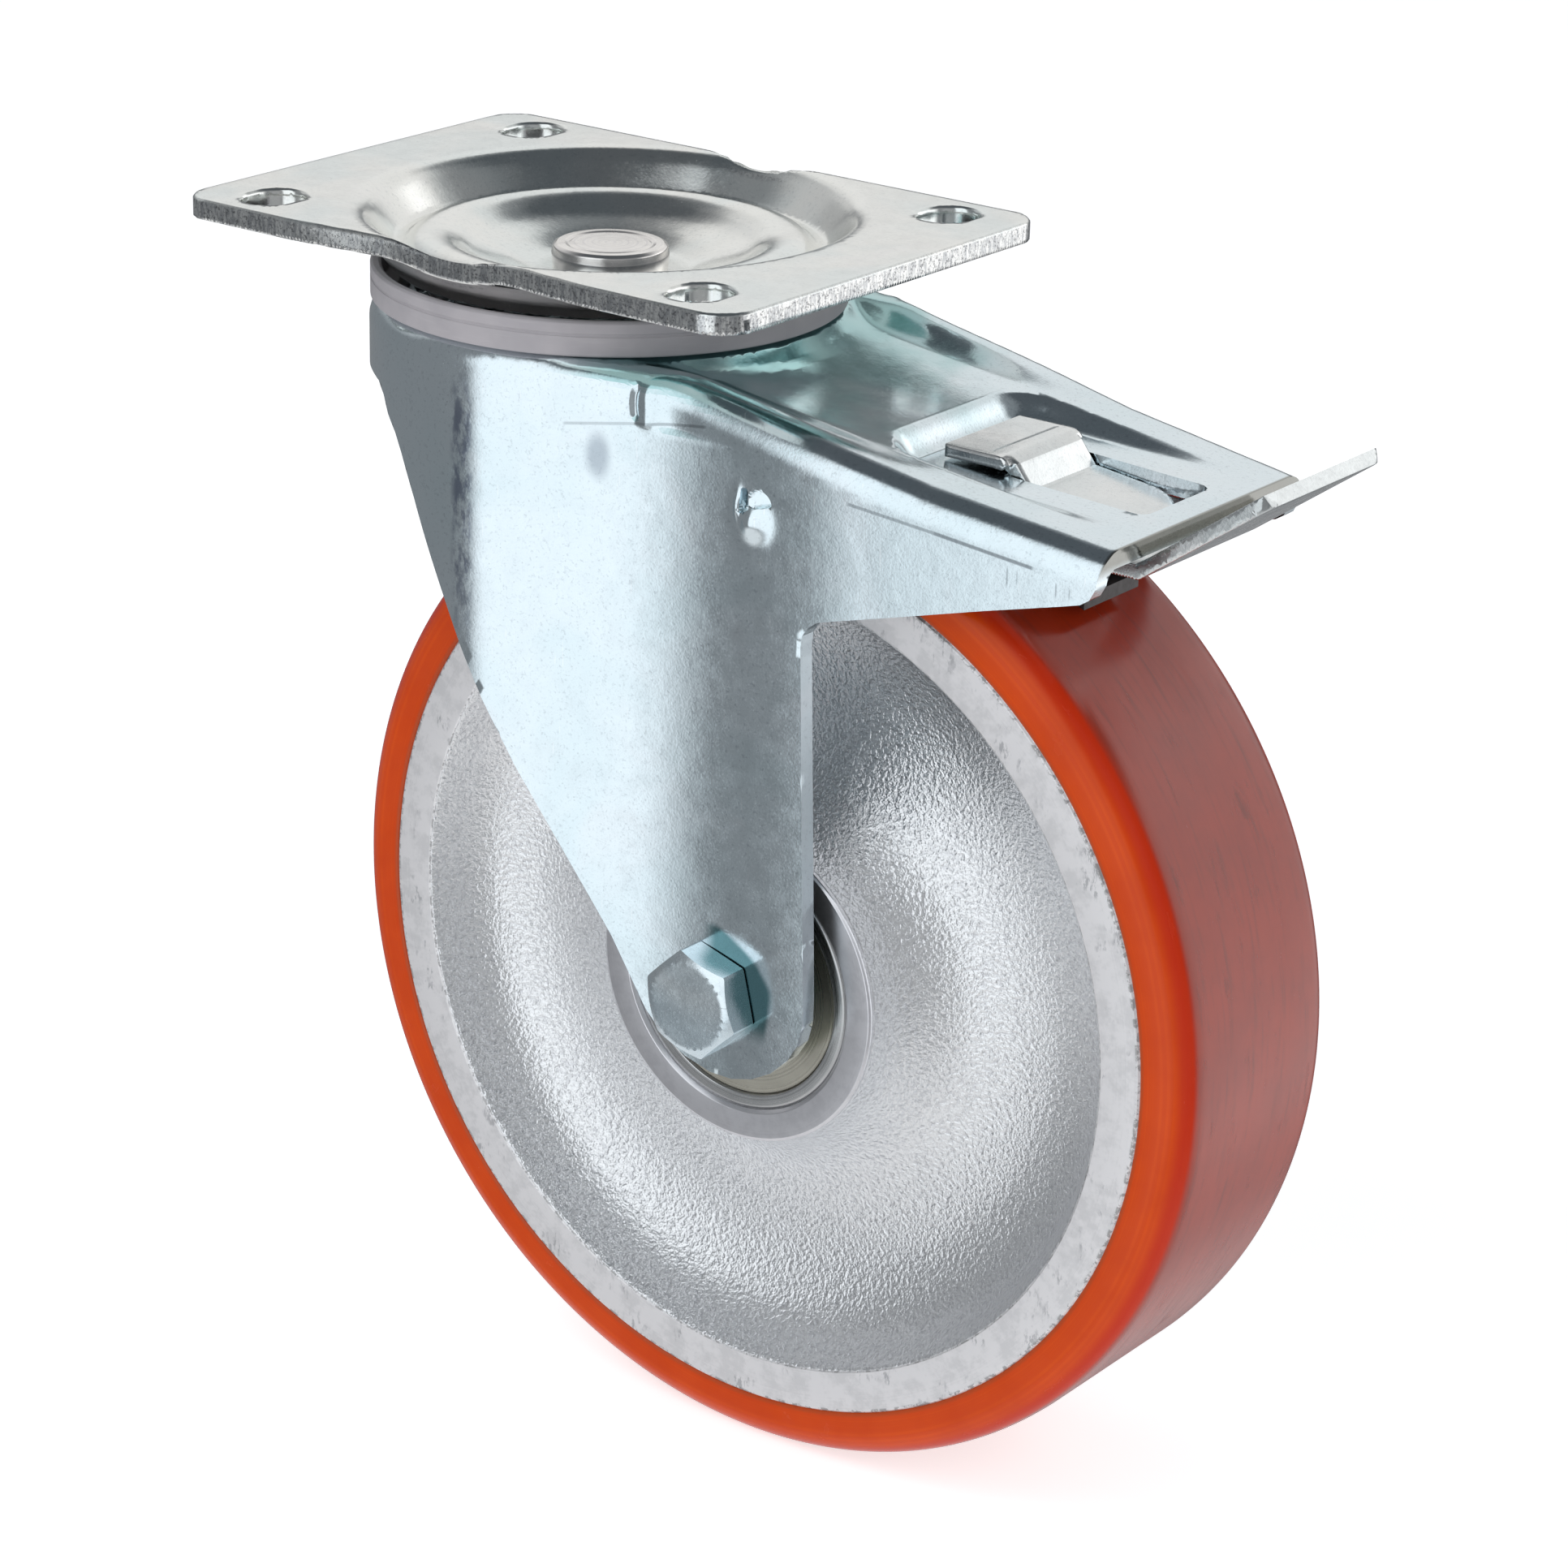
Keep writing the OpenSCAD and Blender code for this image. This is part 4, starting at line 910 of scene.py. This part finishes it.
# Nodes that stay as the frame made them get their material
for node, mat in {"lower_race": M_RACE, "lock_ring": M_RACE, "upper_balls": M_BALL, "lower_balls": M_BALL,
                  "axle_tube": M_BEARING, "brake_shoe": M_SHOE, "shoe_rivets": M_PIN,
                  "bearing_balls_near": M_BALL, "bearing_balls_far": M_BALL,
                  "shields_near": M_SHIELD, "shields_far": M_SHIELD}.items():
    o = frame["nodes"][node]
    o = o if hasattr(o, "material_slots") else bpy.data.objects[node]
    if not o.material_slots:
        o.data.materials.append(mat)
    for s in o.material_slots:
        s.material = mat

# Floor, light and camera


def plain(name, colour, rough):
    m = Mat(name)
    c = m.mix(m.span(m.noise(300, 2), 0.3, 0.7), colour, tuple(0.985 * k for k in colour))
    m.set(Base_Color=c, Roughness=rough, Specular_IOR_Level=0.1, Emission_Color=(1, 1, 1),
          Emission_Strength=0.62)
    return m.m


bpy.ops.mesh.primitive_plane_add(size=6, location=(0.05, 0, -0.2371))
floor = bpy.context.object
floor.name = "floor"
floor.data.materials.append(plain("floor_paper", (0.90, 0.90, 0.91), 0.9))
floor.visible_glossy = False


def world():
    """The studio seen in reflections: soft panels by azimuth from -Y towards +X and by elevation."""
    w = bpy.data.worlds.new("studio")
    scene.world = w
    w.use_nodes = True
    t = w.node_tree
    t.nodes.clear()

    def node(kind, *ins, **props):
        n = t.nodes.new("ShaderNode" + kind)
        for k, v in props.items():
            setattr(n, k, v)
        for i, v in enumerate(ins):
            if isinstance(v, bpy.types.NodeSocket):
                t.links.new(v, n.inputs[i])
            elif v is not None:
                n.inputs[i].default_value = v
        return n

    def math2(op, *ins):
        return node("Math", *ins, operation=op).outputs[0]

    co = t.nodes.new("ShaderNodeTexCoord").outputs["Generated"]
    sep = node("SeparateXYZ", co).outputs
    el = math2("DEGREES", math2("ARCSINE", sep[2]))
    flat = node("VectorMath", node("CombineXYZ", sep[0], sep[1], 0.0).outputs[0],
                operation="NORMALIZE").outputs[0]
    acc = node("CombineXYZ", *AMBIENT).outputs[0]
    for a0, aw, asoft, e0, ew, esoft, colour, power in PANELS:
        c = math.radians(a0)
        dot = node("VectorMath", flat, (math.sin(c), -math.cos(c), 0),
                   operation="DOT_PRODUCT").outputs["Value"]
        ang = math2("DEGREES", math2("ARCCOSINE", math2("MINIMUM", dot, 1.0)))
        side = node("MapRange", ang, aw + asoft, aw - asoft, 0.0, power,
                    interpolation_type="SMOOTHSTEP").outputs[0]
        off = math2("ABSOLUTE", math2("SUBTRACT", el, float(e0)))
        high = node("MapRange", off, ew + esoft, ew - esoft, 0.0, 1.0,
                    interpolation_type="SMOOTHSTEP").outputs[0]
        add = node("VectorMath", colour, operation="SCALE")
        t.links.new(math2("MULTIPLY", side, high), add.inputs["Scale"])
        acc = node("VectorMath", acc, add.outputs[0], operation="ADD").outputs[0]
    acc = node("VectorMath", acc, (0.02, 0.02, 0.02), operation="MAXIMUM").outputs[0]
    env = node("Background", acc, 1.0)
    pale = node("Background", (1, 1, 1, 1), 1.0)
    ray = t.nodes.new("ShaderNodeLightPath").outputs["Is Camera Ray"]
    mixed = node("MixShader", ray, env.outputs[0], pale.outputs[0])
    t.links.new(mixed.outputs[0], t.nodes.new("ShaderNodeOutputWorld").inputs[0])


AMBIENT = (0.215, 0.225, 0.235)
# Centre, half width and softness of the azimuth, the same of the elevation, colour and power
PANELS = [
    (-3, 25.5, 5, 14, 44, 6, (0.95, 1, 1.03), 0.88),
    (-160, 45, 14, 26, 17, 5, (1, 0.99, 0.97), 0.62),
    (-95, 22, 8, 30, 14, 8, (1, 1, 1), 0.30),
    (55, 25, 10, 0, 35, 10, (1, 1, 1), 0.12),
    (135, 32, 12, -2, 32, 8, (1, 1, 1), 1.05),
    (0, 200, 1, -66, 30, 8, (1, 1, 1), 0.55),
    (0, 200, 1, 80, 27, 6, (1, 1, 1), -0.13),
]
world()


def area(name, loc, aim, size, power, colour=(1, 1, 1), glossy=True):
    d = bpy.data.lights.new(name, "AREA")
    d.shape, d.size, d.size_y, d.energy, d.color = "RECTANGLE", size[0], size[1], power, colour
    o = bpy.data.objects.new(name, d)
    scene.collection.objects.link(o)
    o.location = loc
    o.rotation_euler = (Vector(aim) - Vector(loc)).to_track_quat("-Z", "Y").to_euler()
    o.visible_glossy = glossy
    return o


area("key", (-0.7, -1.0, 1.1), (0.05, 0, -0.1), (0.9, 0.9), 6, glossy=False)
area("right", (1.1, -0.7, 0.5), (0.05, 0, -0.12), (0.6, 0.9), 4, glossy=False)

cam = bpy.data.cameras.new("camera")
cam.lens, cam.sensor_width = 105.28, 36
co = bpy.data.objects.new("camera", cam)
scene.collection.objects.link(co)
az, el, roll = (math.radians(v) for v in (36.71, 21.12, 1.44))
back = Vector((math.sin(az) * math.cos(el), -math.cos(az) * math.cos(el), math.sin(el)))
right = Vector((math.cos(az), math.sin(az), 0))
up = back.cross(right)
r2 = math.cos(roll) * right + math.sin(roll) * up
u2 = -math.sin(roll) * right + math.cos(roll) * up
m = Matrix((r2, u2, back)).transposed().to_4x4()
m.translation = Vector((0.0452, 0, -0.1085)) + back * 0.9
co.matrix_world = m
scene.camera = co
scene.view_settings.view_transform = "Standard"
